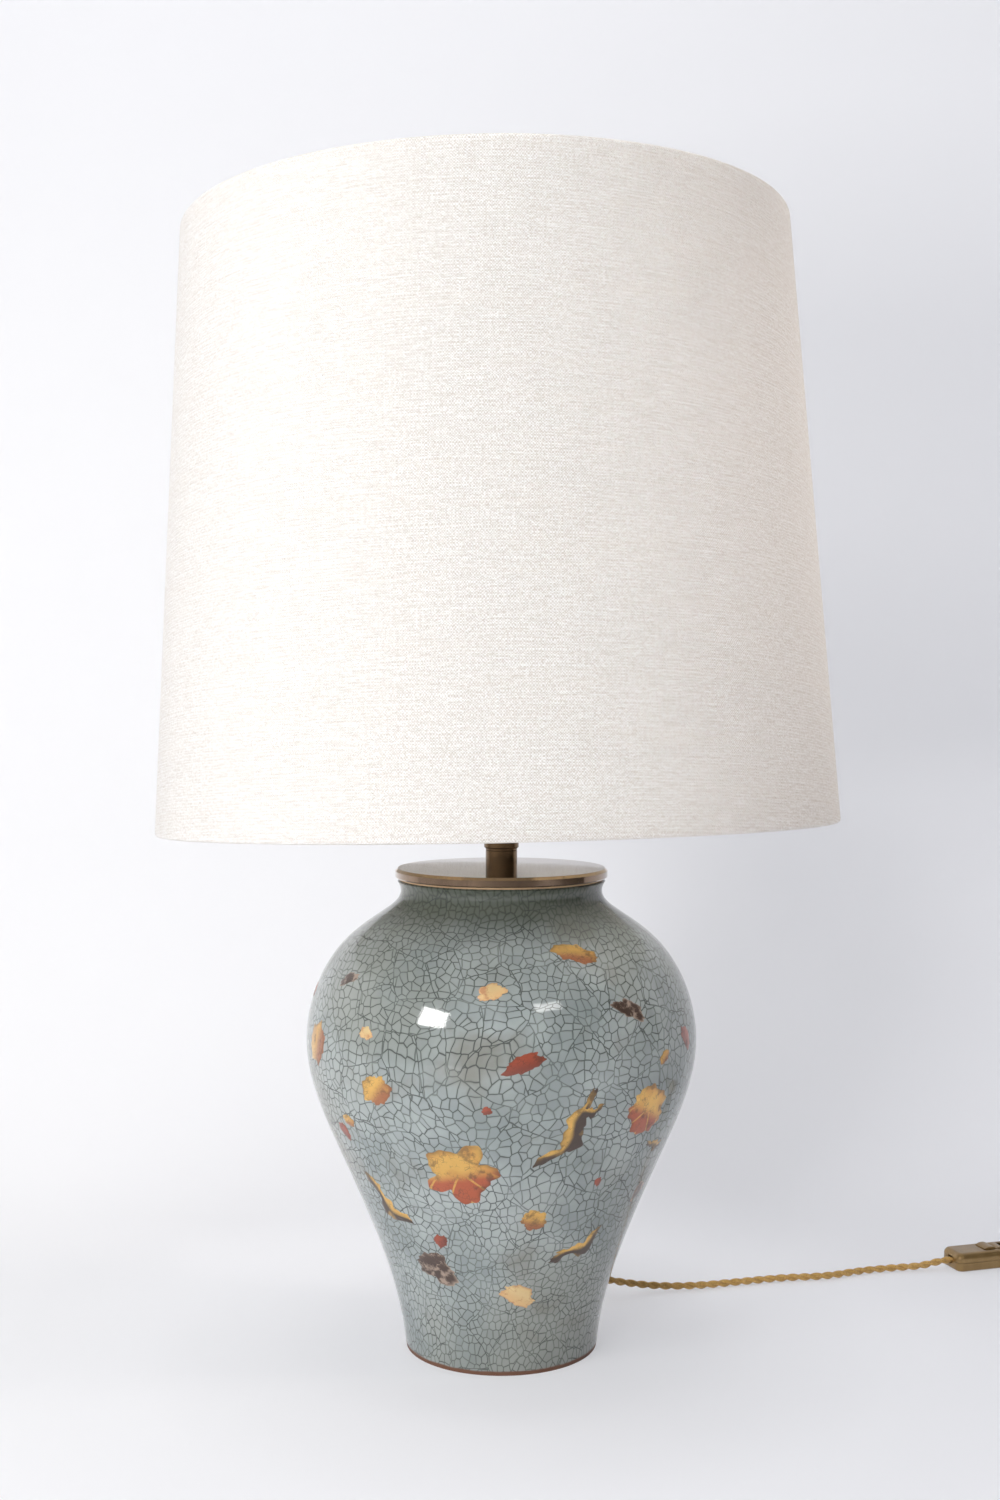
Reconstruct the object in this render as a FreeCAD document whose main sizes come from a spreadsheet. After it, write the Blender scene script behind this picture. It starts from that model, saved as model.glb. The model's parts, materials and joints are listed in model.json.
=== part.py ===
import FreeCAD, Part

import math
import os

import Sketcher
from FreeCAD import Placement, Rotation, Vector

# Ginger jar lamp: a crackle-glazed ceramic jar with a turned metal cap, a short neck
# tube, an E27 lampholder and a tapered drum shade, with a corded hand switch and plug.
# Millimetres, +Z up, origin on the floor at the centre of the jar's foot.
# The front of the lamp faces -Y.

SIZES = {
    # ceramic jar
    "jar_height": 347.2,
    "jar_wall": 8.0,
    "foot_radius": 70.8,
    "foot_edge_height": 3.5,
    "foot_ring_width": 10.0,
    "foot_recess": 5.0,
    "floor_thickness": 9.0,
    "ankle_radius": 76.2,
    "ankle_height": 32.0,
    "lower_wall_radius": 91.2,
    "lower_wall_height": 80.0,
    "upper_wall_radius": 122.0,
    "upper_wall_height": 153.0,
    "belly_radius": 144.3,
    "belly_height": 233.0,
    "shoulder_radius": 117.8,
    "shoulder_drop": 47.2,
    "slope_radius": 89.8,
    "slope_drop": 25.2,
    "throat_radius": 74.6,
    "throat_drop": 9.2,
    "lip_radius": 77.0,
    "lip_rounding": 1.2,
    # cord outlet in the jar's back
    "outlet_azimuth": 55.0,
    "outlet_height": 30.0,
    "outlet_bore": 12.0,
    "bush_flange_radius": 9.5,
    "bush_flange_thickness": 2.8,
    "bush_seat": 0.95,
    "bush_clearance": 0.25,
    # cap, its cork ring and the clamp under the shoulder
    "cork_thickness": 1.4,
    "cork_radius": 75.9,
    "cork_width": 7.0,
    "cap_radius": 78.7,
    "cap_thickness": 7.0,
    "cap_chamfer": 2.0,
    "cap_spigot_depth": 9.0,
    "cap_spigot_wall": 5.0,
    "cap_spigot_clearance": 1.2,
    "seat_clearance": 0.25,
    "bar_length": 156.0,
    "bar_width": 22.0,
    "bar_thickness": 4.0,
    "washer_radius": 11.0,
    "washer_thickness": 1.5,
    "nut_across_flats": 14.0,
    "nut_height": 4.0,
    "rod_radius": 5.0,
    "rod_bore": 8.2,
    "rod_tail": 3.0,
    "rod_hole_clearance": 0.25,
    # neck
    "tube_radius": 11.7,
    "tube_length": 14.3,
    "tube_groove": 0.5,
    "tube_groove_drop": 1.3,
    "collar_radius": 12.85,
    "collar_height": 6.0,
    "collar_edge": 0.9,
    # lampholder
    "dome_height": 16.0,
    "dome_foot_radius": 11.5,
    "dome_wall": 1.6,
    "holder_radius": 19.75,
    "holder_wall": 2.4,
    "holder_height": 42.0,
    "holder_lip": 1.2,
    "ring_seat_rise": 14.0,
    "ring_seat_radius": 21.5,
    "ring_seat_height": 2.0,
    "insulator_clearance": 0.2,
    "insulator_floor": 7.0,
    "insulator_height": 30.0,
    "socket_radius": 13.4,
    "socket_wall": 0.5,
    "socket_height": 24.0,
    "contact_width": 7.0,
    "contact_thickness": 0.6,
    "contact_rise": 3.0,
    # rings that hold the shade
    "shade_ring_radius": 27.5,
    "shade_ring_height": 6.0,
    "shade_ring_clearance": 0.08,
    "shade_ring_grips": 16,
    "grip_radius": 1.6,
    "ring_gap": 0.3,
    # bulb
    "bulb_base_radius": 13.0,
    "bulb_base_height": 22.0,
    "bulb_tip_height": 3.2,
    "bulb_tip_radius": 4.5,
    "bulb_globe_radius": 30.0,
    "bulb_length": 104.0,
    "bulb_wall": 1.0,
    "bulb_contact_gap": 0.3,
    # shade
    "shade_bottom_radius": 250.0,
    "shade_top_radius": 223.1,
    "shade_height": 439.4,
    "shade_drop": 29.3,
    "shade_lean_left": 1.21,
    "shade_lean_back": 2.12,
    "shade_shift_left": 3.2,
    "cover_thickness": 0.9,
    "hem_length": 11.0,
    "liner_thickness": 0.5,
    "liner_gap": 0.3,
    "wire_radius": 2.0,
    "fitter_bore": 42.0,
    "fitter_radius": 33.0,
    "fitter_thickness": 1.6,
    "arm_radius": 1.75,
    "arm_count": 3,
    "arm_azimuth": 90.0,
    "arm_knee_radius": 58.0,
    "arm_notch_width": 9.0,
    # cord and hand switch
    "cord_radius": 3.0,
    "switch_x": 378.0,
    "switch_y": 170.0,
    "switch_yaw": 17.0,
    "switch_length": 80.0,
    "switch_width": 28.0,
    "switch_parting": 7.2,
    "switch_height": 15.0,
    "switch_wall": 1.8,
    "switch_corner": 6.0,
    "switch_edge": 2.4,
    "rocker_length": 23.0,
    "rocker_width": 14.0,
    "rocker_clearance": 0.4,
    "rocker_tilt": 8.0,
    "rocker_pivot_drop": 1.9,
    "rocker_lobe": 3.4,
    "rocker_pin_radius": 1.0,
    "rocker_pin_clearance": 0.05,
    "screw_spacing": 58.0,
    "screw_radius": 1.5,
    "screw_head_radius": 2.7,
    "screw_head_depth": 1.6,
    # coil of the cord's spare length
    "coil_x": 530.0,
    "coil_y": 240.0,
    "coil_radius": 42.0,
    "coil_pitch": 6.7,
    "coil_layer_rise": 6.6,
    "coil_flat_turns": 5,
    "coil_floor_gap": 0.2,
    "coil_lead": 6.5,
    # two-pin plug
    "plug_x": 580.0,
    "plug_y": 192.3,
    "plug_yaw": -9.0,
    "plug_length": 33.0,
    "plug_width": 25.6,
    "plug_waist": 11.5,
    "plug_thickness": 13.7,
    "plug_edge": 2.5,
    "plug_relief_length": 22.0,
    "plug_relief_radius": 4.9,
    "plug_relief_wall": 0.8,
    "pin_length": 19.0,
    "pin_radius": 2.0,
    "pin_spacing": 18.6,
}

TOLERANCE = 1e-9


class Size:
    """A number together with the spreadsheet expression that gives it."""

    def __init__(self, value, text):
        self.value = float(value)
        self.text = text

    @staticmethod
    def of(item):
        """Return item as a Size; a plain number becomes a constant."""
        return item if isinstance(item, Size) else Size(item, f"({float(item)!r})")

    def __add__(self, other):
        other = Size.of(other)
        return Size(self.value + other.value, f"({self.text} + {other.text})")

    def __sub__(self, other):
        other = Size.of(other)
        return Size(self.value - other.value, f"({self.text} - {other.text})")

    def __mul__(self, other):
        other = Size.of(other)
        return Size(self.value * other.value, f"({self.text} * {other.text})")

    def __truediv__(self, other):
        other = Size.of(other)
        return Size(self.value / other.value, f"({self.text} / {other.text})")

    def __radd__(self, other):
        return Size.of(other) + self

    def __rsub__(self, other):
        return Size.of(other) - self

    def __rmul__(self, other):
        return Size.of(other) * self

    def __neg__(self):
        return Size.of(0) - self

    def __float__(self):
        return self.value


class SizeTable:
    """The driving dimensions: a spreadsheet whose cells are read by name."""

    def __init__(self, document, values):
        self.values = values
        sheet = document.addObject("Spreadsheet::Sheet", "Sizes")
        for row, (name, value) in enumerate(values.items(), start=1):
            sheet.set(f"A{row}", name)
            sheet.set(f"B{row}", str(value))
            sheet.setAlias(f"B{row}", name)
        document.recompute()

    def __getattr__(self, name):
        return Size(self.values[name], f"Sizes.{name}")


doc = FreeCAD.newDocument("GingerJarLamp")
size = SizeTable(doc, SIZES)
nodes = []


# ---------------------------------------------------------------- building blocks


def new_body(name):
    """Start a sub-part whose label names its file."""
    body = doc.addObject("PartDesign::Body", name)
    body.Label = name
    nodes.append(body)
    return body


def new_sketch(body, role, name):
    """Attach an empty sketch to one of the body's own origin planes."""
    sketch = body.newObject("Sketcher::SketchObject", f"{body.Label}_{name}")
    plane = next(item for item in body.Origin.OriginFeatures if item.Role == role)
    sketch.AttachmentSupport = [(plane, "")]
    sketch.MapMode = "FlatFace"
    return sketch


def lift_sketch(sketch, offset):
    """Move an attached sketch along its plane's normal."""
    sketch.AttachmentOffset = Placement(Vector(0, 0, float(offset)), Rotation())
    sketch.setExpression("AttachmentOffset.Base.z", Size.of(offset).text)


def hold(sketch, kind, geometry, vertex, amount):
    """Hold a point at a distance from the sketch's origin along one direction."""
    amount = Size.of(amount)
    if abs(amount.value) < TOLERANCE:
        axis = -2 if kind == "DistanceX" else -1
        sketch.addConstraint(Sketcher.Constraint("PointOnObject", geometry, vertex, axis))
        return
    constraint = Sketcher.Constraint(kind, -1, 1, geometry, vertex, amount.value)
    index = sketch.addConstraint(constraint)
    sketch.setExpression(f"Constraints[{index}]", amount.text)


def draw_outline(sketch, corners, curves=None):
    """Draw a closed outline through the corners; curves gives the bent sides' points."""
    curves = curves or {}
    points = [Vector(float(x), float(y), 0) for x, y in corners]
    first = sketch.GeometryCount
    for index, start in enumerate(points):
        end = points[(index + 1) % len(points)]
        if index in curves:
            side = Part.BSplineCurve()
            side.interpolate([start] + curves[index] + [end])
        else:
            side = Part.LineSegment(start, end)
        sketch.addGeometry(side, False)
    for index, (x, y) in enumerate(corners):
        following = (index + 1) % len(corners)
        sketch.addConstraint(
            Sketcher.Constraint("Coincident", first + index, 2, first + following, 1)
        )
        hold(sketch, "DistanceX", first + index, 1, x)
        hold(sketch, "DistanceY", first + index, 1, y)


def draw_circle(sketch, x, y, radius):
    """Draw a circle with its centre and radius held."""
    centre = Vector(float(x), float(y), 0)
    index = sketch.addGeometry(Part.Circle(centre, Vector(0, 0, 1), float(radius)), False)
    hold(sketch, "DistanceX", index, 3, x)
    hold(sketch, "DistanceY", index, 3, y)
    constraint = sketch.addConstraint(Sketcher.Constraint("Radius", index, float(radius)))
    sketch.setExpression(f"Constraints[{constraint}]", Size.of(radius).text)


def draw_rectangle(sketch, x_low, x_high, y_low, y_high):
    """Draw a rectangle along the sketch's axes."""
    corners = [(x_low, y_low), (x_high, y_low), (x_high, y_high), (x_low, y_high)]
    draw_outline(sketch, corners)


def revolve(body, corners, curves=None, name="Profile"):
    """Turn a closed half-outline (radius, height) about the vertical axis."""
    sketch = new_sketch(body, "XZ_Plane", name)
    draw_outline(sketch, corners, curves)
    turned = body.newObject("PartDesign::Revolution", f"{body.Label}_Turned")
    turned.Profile = sketch
    turned.ReferenceAxis = (sketch, ["V_Axis"])
    turned.Angle = 360
    sketch.Visibility = False
    return turned


def pad(body, sketch, length, symmetric=False):
    """Raise a sketch into a solid."""
    block = body.newObject("PartDesign::Pad", f"{body.Label}_Pad")
    block.Profile = sketch
    block.Length = float(length)
    block.setExpression("Length", Size.of(length).text)
    if symmetric:
        block.SideType = "Symmetric"
    return block


def pocket(body, sketch, depth=None, reverse=False):
    """Cut a sketch out of the body, to a depth or right through."""
    doc.recompute()
    before = body.Shape.copy()
    cut = body.newObject("PartDesign::Pocket", f"{sketch.Label}_Pocket")
    cut.Profile = sketch
    cut.Reversed = reverse
    if depth is None:
        cut.Type = "ThroughAll"
    else:
        cut.Length = float(depth)
        cut.setExpression("Length", Size.of(depth).text)
    doc.recompute()
    tool = cut.AddSubShape.copy()
    tool.Placement = cut.Placement.multiply(tool.Placement)
    if before.common(tool).Volume < 1e-3:
        raise RuntimeError(f"{sketch.Label} cuts nothing")
    return cut


def edges_where(feature, test):
    """Return the names of a feature's edges whose midpoint passes the test."""
    doc.recompute()
    names = []
    for index, edge in enumerate(feature.Shape.Edges, start=1):
        middle = edge.valueAt((edge.FirstParameter + edge.LastParameter) / 2)
        if test(edge, middle):
            names.append(f"Edge{index}")
    return names


def dress(body, kind, feature, edges, amount):
    """Round or bevel the named edges of a feature."""
    dressed = body.newObject(f"PartDesign::{kind}", f"{body.Label}_{kind}")
    dressed.Base = (feature, edges)
    field = "Radius" if kind == "Fillet" else "Size"
    setattr(dressed, field, float(amount))
    dressed.setExpression(field, Size.of(amount).text)
    return dressed


def place(item, x=0, y=0, z=0, rotation=None):
    """Set where a sub-part stands, with its position bound to the table."""
    base = Vector(float(x), float(y), float(z))
    item.Placement = Placement(base, rotation or Rotation())
    for axis, amount in (("x", x), ("y", y), ("z", z)):
        if isinstance(amount, Size):
            item.setExpression(f"Placement.Base.{axis}", amount.text)


def turn(axis, angle):
    """Return a rotation about a named axis, in degrees."""
    directions = {"x": Vector(1, 0, 0), "y": Vector(0, 1, 0), "z": Vector(0, 0, 1)}
    return Rotation(directions[axis], float(angle))


def corner_arc(start, corner, end):
    """Return the arc that leaves start and reaches end tangent to both sides."""
    to_start = (start - corner).normalize()
    to_end = (end - corner).normalize()
    half = to_start.getAngle(to_end) / 2
    reach = (start - corner).Length
    inward = (to_start + to_end).normalize()
    centre = corner + inward * (reach / math.cos(half))
    middle = centre - inward * (reach * math.tan(half))
    return Part.Arc(start, middle, end)


def rounded_route(points, name):
    """Join straight runs by tangent arcs as large as the runs allow."""
    edges = []
    radii = []
    last = points[0]
    for before, corner, after in zip(points, points[1:], points[2:]):
        shorter = min((corner - before).Length, (after - corner).Length)
        reach = 0.45 * shorter
        start = corner + (before - corner).normalize() * reach
        end = corner + (after - corner).normalize() * reach
        half_turn = (corner - before).getAngle(after - corner) / 2
        radii.append(reach / math.tan(half_turn))
        edges.append(Part.LineSegment(last, start).toShape())
        edges.append(corner_arc(start, corner, end).toShape())
        last = end
    edges.append(Part.LineSegment(last, points[-1]).toShape())
    print(name, "radii", [round(radius, 1) for radius in radii])
    return Part.Wire(edges)


def new_tube(name, path, radius):
    """Sweep a round section along a path as one solid and check its volume."""
    radius = float(radius)
    first = path.Edges[0]
    start = first.valueAt(first.FirstParameter)
    heading = first.tangentAt(first.FirstParameter)
    section = Part.Wire([Part.Circle(start, heading, radius).toShape()])
    tube = path.makePipeShell([section], True, False)
    expected = math.pi * radius * radius * path.Length
    print(name, "length", round(path.Length, 1), "volume ratio", round(tube.Volume / expected, 4))
    feature = doc.addObject("Part::Feature", name)
    feature.Label = name
    feature.Shape = tube
    nodes.append(feature)
    return feature


# ---------------------------------------------------------------- levels up the lamp

lip_level = size.jar_height
cap_level = lip_level + size.cork_thickness
cap_top = cap_level + size.cap_thickness
collar_level = cap_top + size.tube_length
dome_level = collar_level + size.collar_height
holder_level = dome_level + size.dome_height
insulator_level = holder_level
contact_level = insulator_level + size.insulator_floor
ring_seat_level = holder_level + size.ring_seat_rise
lower_ring_level = ring_seat_level + size.ring_seat_height
fitter_level = lower_ring_level + size.shade_ring_height + size.ring_gap
upper_ring_level = fitter_level + size.fitter_thickness + size.ring_gap
bulb_level = contact_level + size.contact_rise + size.contact_thickness + size.bulb_contact_gap
rod_hole = size.rod_radius + size.rod_hole_clearance


# ---------------------------------------------------------------- ceramic jar


def jar_outside():
    """Return the stations (radius, height) of the jar's outside, foot edge to lip."""
    return [
        (size.foot_radius + 0.7, size.foot_edge_height),
        (size.ankle_radius, size.ankle_height),
        (size.lower_wall_radius, size.lower_wall_height),
        (size.upper_wall_radius, size.upper_wall_height),
        (size.belly_radius, size.belly_height),
        (size.shoulder_radius, size.jar_height - size.shoulder_drop),
        (size.slope_radius, size.jar_height - size.slope_drop),
        (size.throat_radius, size.jar_height - size.throat_drop),
        (size.lip_radius, size.jar_height - size.lip_rounding),
    ]


def as_vectors(stations):
    """Return stations as points of the profile sketch."""
    return [Vector(float(radius), float(height), 0) for radius, height in stations]


def jar_inside():
    """Return the inside points, one wall in from the outside, ankle to throat."""
    points = as_vectors(jar_outside())
    curve = Part.BSplineCurve()
    curve.interpolate(points)
    inside = []
    for point in points[1:-1]:
        along = Vector(*curve.tangent(curve.parameter(point))[0]).normalize()
        inside.append(point + Vector(-along.y, along.x, 0) * float(size.jar_wall))
    return inside


def inside_height(radius):
    """Return the height under the shoulder where the hollow has this radius."""
    curve = Part.BSplineCurve()
    curve.interpolate(jar_inside())
    low = curve.parameter(Vector(float(size.belly_radius), float(size.belly_height), 0))
    high = curve.LastParameter
    for _ in range(60):
        middle = (low + high) / 2
        if curve.value(middle).x > radius:
            low = middle
        else:
            high = middle
    return curve.value(high).y


def build_jar():
    """A thrown jar: even wall, foot ring, recessed base and a drilled cord outlet."""
    outside = jar_outside()
    inside = jar_inside()
    recess_radius = size.foot_radius - size.foot_ring_width
    floor_level = size.foot_recess + size.floor_thickness
    throat_bore = size.throat_radius - size.jar_wall
    corners = [
        (0, size.foot_recess),
        (recess_radius, size.foot_recess),
        (recess_radius + 2, 0),
        (size.foot_radius, 0),
        outside[0],
        outside[-1],
        (size.lip_radius - size.lip_rounding, size.jar_height),
        (throat_bore, size.jar_height),
        (throat_bore, size.jar_height - size.throat_drop),
        (inside[0].x, size.ankle_height),
        (recess_radius - 4, floor_level),
        (0, floor_level),
    ]
    curves = {
        4: as_vectors(outside[1:-1]),
        8: inside[-2:0:-1],
        9: [Vector(float(inside[0].x) - 2.2, float(floor_level) + 5.5, 0)],
    }
    jar = new_body("jar")
    revolve(jar, corners, curves)
    wall_radius, droop = outlet_seat()
    outlet = new_sketch(jar, "YZ_Plane", "Outlet")
    draw_circle(outlet, 0, 0, size.outlet_bore / 2)
    axis_height = float(size.outlet_height) + wall_radius * math.tan(droop)
    tilt = turn("x", math.degrees(droop))
    outlet.AttachmentOffset = Placement(Vector(0, axis_height, 0), tilt)
    pocket(jar, outlet, reverse=True)
    place(jar, rotation=turn("z", size.outlet_azimuth))


def outlet_seat():
    """Return the jar's outer radius at the cord outlet and how far its wall faces down."""
    curve = Part.BSplineCurve()
    curve.interpolate(as_vectors(jar_outside()))
    level = float(size.outlet_height)
    low, high = curve.FirstParameter, curve.LastParameter
    for _ in range(60):
        middle = (low + high) / 2
        if curve.value(middle).y < level:
            low = middle
        else:
            high = middle
    along = Vector(*curve.tangent(high)[0])
    return curve.value(high).x, math.atan2(along.x, along.y)


def outlet_point(distance, lift=0.0):
    """Return a point on the outlet's axis, this far out from the wall's face."""
    wall_radius, droop = outlet_seat()
    azimuth = math.radians(float(size.outlet_azimuth))
    radius = wall_radius + distance * math.cos(droop)
    height = float(size.outlet_height) - distance * math.sin(droop) + lift
    return Vector(radius * math.cos(azimuth), radius * math.sin(azimuth), height)


def build_cord_bush():
    """A rubber bush lining the outlet, with a domed flange on the outside."""
    bore = size.cord_radius + 0.1
    sleeve = size.outlet_bore / 2 - size.bush_clearance
    corners = [
        (bore, -(size.jar_wall + 3)),
        (sleeve, -(size.jar_wall + 3)),
        (sleeve, size.bush_seat),
        (size.bush_flange_radius, size.bush_seat),
        (size.bush_flange_radius, size.bush_flange_thickness - 0.8),
        (size.bush_flange_radius - 1.8, size.bush_flange_thickness + 0.4),
        (bore + 0.6, size.bush_flange_thickness + 0.8),
        (bore, size.bush_flange_thickness + 0.2),
    ]
    bush = new_body("cord_bush")
    revolve(bush, corners)
    stand = outlet_point(0)
    heading = outlet_point(1) - stand
    place(bush, stand.x, stand.y, stand.z, Rotation(Vector(0, 0, 1), heading))


# ---------------------------------------------------------------- cap and clamp


def build_cork_ring():
    """The cork ring between the jar's lip and the cap."""
    inner = size.cork_radius - size.cork_width
    ring = new_body("cork_ring")
    corners = [
        (inner, 0),
        (size.cork_radius, 0),
        (size.cork_radius, size.cork_thickness),
        (inner, size.cork_thickness),
    ]
    revolve(ring, corners)
    place(ring, z=lip_level)


def build_cap():
    """A turned cap: bevelled rim, and a spigot that centres it in the throat."""
    spigot = size.throat_radius - size.jar_wall - size.cap_spigot_clearance
    corners = [
        (rod_hole, 0),
        (spigot - size.cap_spigot_wall, 0),
        (spigot - size.cap_spigot_wall, -size.cap_spigot_depth),
        (spigot - 1, -size.cap_spigot_depth),
        (spigot, 1 - size.cap_spigot_depth),
        (spigot, 0),
        (size.cap_radius - 0.8, 0),
        (size.cap_radius, 0.8),
        (size.cap_radius, size.cap_thickness - size.cap_chamfer),
        (size.cap_radius - size.cap_chamfer, size.cap_thickness),
        (rod_hole, size.cap_thickness),
    ]
    cap = new_body("cap")
    revolve(cap, corners)
    place(cap, z=cap_level)


def build_clamp():
    """A steel bar under the shoulder, with the washer and nut that draw the cap down."""
    half = size.bar_length / 2
    tip_radius = math.hypot(float(half), float(size.bar_width) / 4)
    bar_top = inside_height(tip_radius) - float(size.seat_clearance)
    bar = new_body("clamp_bar")
    plan = new_sketch(bar, "XY_Plane", "Plan")
    bevel = size.bar_width / 4
    side = size.bar_width / 2
    corners = [
        (-half, -bevel),
        (bevel - half, -side),
        (half - bevel, -side),
        (half, -bevel),
        (half, bevel),
        (half - bevel, side),
        (bevel - half, side),
        (-half, bevel),
    ]
    draw_outline(plan, corners)
    draw_circle(plan, 0, 0, rod_hole)
    pad(bar, plan, size.bar_thickness)
    place(bar, z=bar_top - float(size.bar_thickness))

    washer_top = bar_top - float(size.bar_thickness)
    washer = new_body("clamp_washer")
    ring = new_sketch(washer, "XY_Plane", "Plan")
    draw_circle(ring, 0, 0, size.washer_radius)
    draw_circle(ring, 0, 0, rod_hole)
    pad(washer, ring, size.washer_thickness)
    place(washer, z=washer_top - float(size.washer_thickness))

    nut_top = washer_top - float(size.washer_thickness)
    nut = new_body("clamp_nut")
    hexagon = new_sketch(nut, "XY_Plane", "Plan")
    across_corners = size.nut_across_flats / math.cos(math.radians(30)) / 2
    steps = [math.radians(60 * step) for step in range(6)]
    draw_outline(
        hexagon, [(across_corners * math.cos(a), across_corners * math.sin(a)) for a in steps]
    )
    draw_circle(hexagon, 0, 0, size.rod_radius)
    pad(nut, hexagon, size.nut_height)
    place(nut, z=nut_top - float(size.nut_height))
    return nut_top - float(size.nut_height)


def build_rod(nut_level):
    """The hollow rod from under the clamp nut up into the lampholder's dome."""
    bottom = nut_level - float(size.rod_tail)
    top = float(dome_level) + float(size.dome_height) - 5
    rod = new_body("threaded_rod")
    plan = new_sketch(rod, "XY_Plane", "Plan")
    draw_circle(plan, 0, 0, size.rod_radius)
    draw_circle(plan, 0, 0, size.rod_bore / 2)
    pad(rod, plan, top - bottom)
    place(rod, z=bottom)
    return top


# ---------------------------------------------------------------- neck and lampholder


def build_neck():
    """The neck tube over the rod, with a fine groove, and the collar it carries."""
    groove_top = size.tube_length - size.tube_groove_drop
    corners = [
        (rod_hole, 0),
        (size.tube_radius, 0),
        (size.tube_radius, groove_top - size.tube_groove),
        (size.tube_radius - size.tube_groove, groove_top - size.tube_groove / 2),
        (size.tube_radius, groove_top),
        (size.tube_radius, size.tube_length),
        (rod_hole, size.tube_length),
    ]
    tube = new_body("neck_tube")
    revolve(tube, corners)
    place(tube, z=cap_top)

    edge = size.collar_edge
    corners = [
        (rod_hole, 0),
        (size.collar_radius - edge, 0),
        (size.collar_radius, edge),
        (size.collar_radius, size.collar_height - edge),
        (size.collar_radius - edge, size.collar_height),
        (rod_hole, size.collar_height),
    ]
    collar = new_body("neck_collar")
    revolve(collar, corners)
    place(collar, z=collar_level)


def build_holder():
    """The lampholder: dome with a threaded boss, insulating barrel, insert and contacts."""
    wall = size.dome_wall
    top = size.dome_height
    corners = [
        (size.rod_radius, 0),
        (size.dome_foot_radius, 0),
        (size.holder_radius - 1.2, top - 5),
        (size.holder_radius - 1.2, top),
        (size.holder_radius - 1.2 - wall, top),
        (size.holder_radius - 1.2 - wall, top - 4.4),
        (size.rod_radius + 3, wall),
        (size.rod_radius + 3, 9),
        (size.rod_radius, 9),
    ]
    rim = float(size.holder_radius) - 1.2
    outer_bulge = Vector(rim - 1.6, float(top) * 0.42, 0)
    inner_bulge = Vector(rim - 1.6 - float(wall), float(top) * 0.42 + 1, 0)
    dome = new_body("holder_dome")
    revolve(dome, corners, {1: [outer_bulge], 5: [inner_bulge]})
    place(dome, z=dome_level)

    inner = size.holder_radius - size.holder_wall
    seat_low = size.ring_seat_rise
    seat_high = size.ring_seat_rise + size.ring_seat_height
    corners = [
        (inner, 0),
        (size.holder_radius, 0),
        (size.holder_radius, seat_low),
        (size.ring_seat_radius, seat_low),
        (size.ring_seat_radius, seat_high),
        (size.holder_radius, seat_high),
        (size.holder_radius, size.holder_height - size.holder_lip),
        (size.holder_radius - size.holder_lip, size.holder_height),
        (inner, size.holder_height),
    ]
    barrel = new_body("holder_barrel")
    revolve(barrel, corners)
    place(barrel, z=holder_level)

    outer = inner - size.insulator_clearance
    cup = size.socket_radius + size.socket_wall + size.insulator_clearance
    corners = [
        (2, 0),
        (outer, 0),
        (outer, size.insulator_height),
        (cup, size.insulator_height),
        (cup, size.insulator_floor),
        (2, size.insulator_floor),
    ]
    insulator = new_body("holder_insulator")
    revolve(insulator, corners)
    place(insulator, z=insulator_level)

    corners = [
        (size.socket_radius, 0),
        (size.socket_radius + size.socket_wall, 0),
        (size.socket_radius + size.socket_wall, size.socket_height),
        (size.socket_radius, size.socket_height),
    ]
    socket = new_body("holder_socket")
    revolve(socket, corners)
    place(socket, z=contact_level)

    half = size.contact_width / 2
    rise = size.contact_rise
    thick = size.contact_thickness
    reach = size.socket_radius - 3.5
    contact = new_body("holder_contact")
    profile = new_sketch(contact, "XZ_Plane", "Profile")
    corners = [
        (-reach, 0),
        (3 - reach, 0),
        (3, rise),
        (4, rise),
        (4, rise + thick),
        (2.8, rise + thick),
        (2.8 - reach, thick),
        (-reach, thick),
    ]
    draw_outline(profile, corners)
    pad(contact, profile, half * 2, symmetric=True)
    place(contact, z=contact_level)


def build_shade_rings():
    """Two ring nuts on the barrel, gripped by scallops, with the fitter between them."""
    inner = size.holder_radius + size.shade_ring_clearance
    for name, level in (
        ("shade_ring_lower", lower_ring_level),
        ("shade_ring_upper", upper_ring_level),
    ):
        ring = new_body(name)
        corners = [
            (inner, 0),
            (size.shade_ring_radius - 0.6, 0),
            (size.shade_ring_radius, 0.6),
            (size.shade_ring_radius, size.shade_ring_height - 0.6),
            (size.shade_ring_radius - 0.6, size.shade_ring_height),
            (inner, size.shade_ring_height),
        ]
        revolve(ring, corners)
        grip = new_sketch(ring, "XY_Plane", "Grip")
        draw_circle(grip, size.shade_ring_radius + size.grip_radius / 2, 0, size.grip_radius)
        cut = pocket(ring, grip, reverse=True)
        repeat_round(ring, cut, size.shade_ring_grips)
        place(ring, z=level)


def repeat_round(body, feature, count):
    """Repeat a feature evenly about the body's vertical axis."""
    pattern = body.newObject("PartDesign::PolarPattern", f"{body.Label}_Pattern")
    pattern.Originals = [feature]
    axis = next(item for item in body.Origin.OriginFeatures if item.Role == "Z_Axis")
    pattern.Axis = (axis, [""])
    pattern.Angle = 360
    pattern.Occurrences = int(float(count))
    pattern.setExpression("Occurrences", count.text)
    body.Tip = pattern
    return pattern


# ---------------------------------------------------------------- bulb


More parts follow.
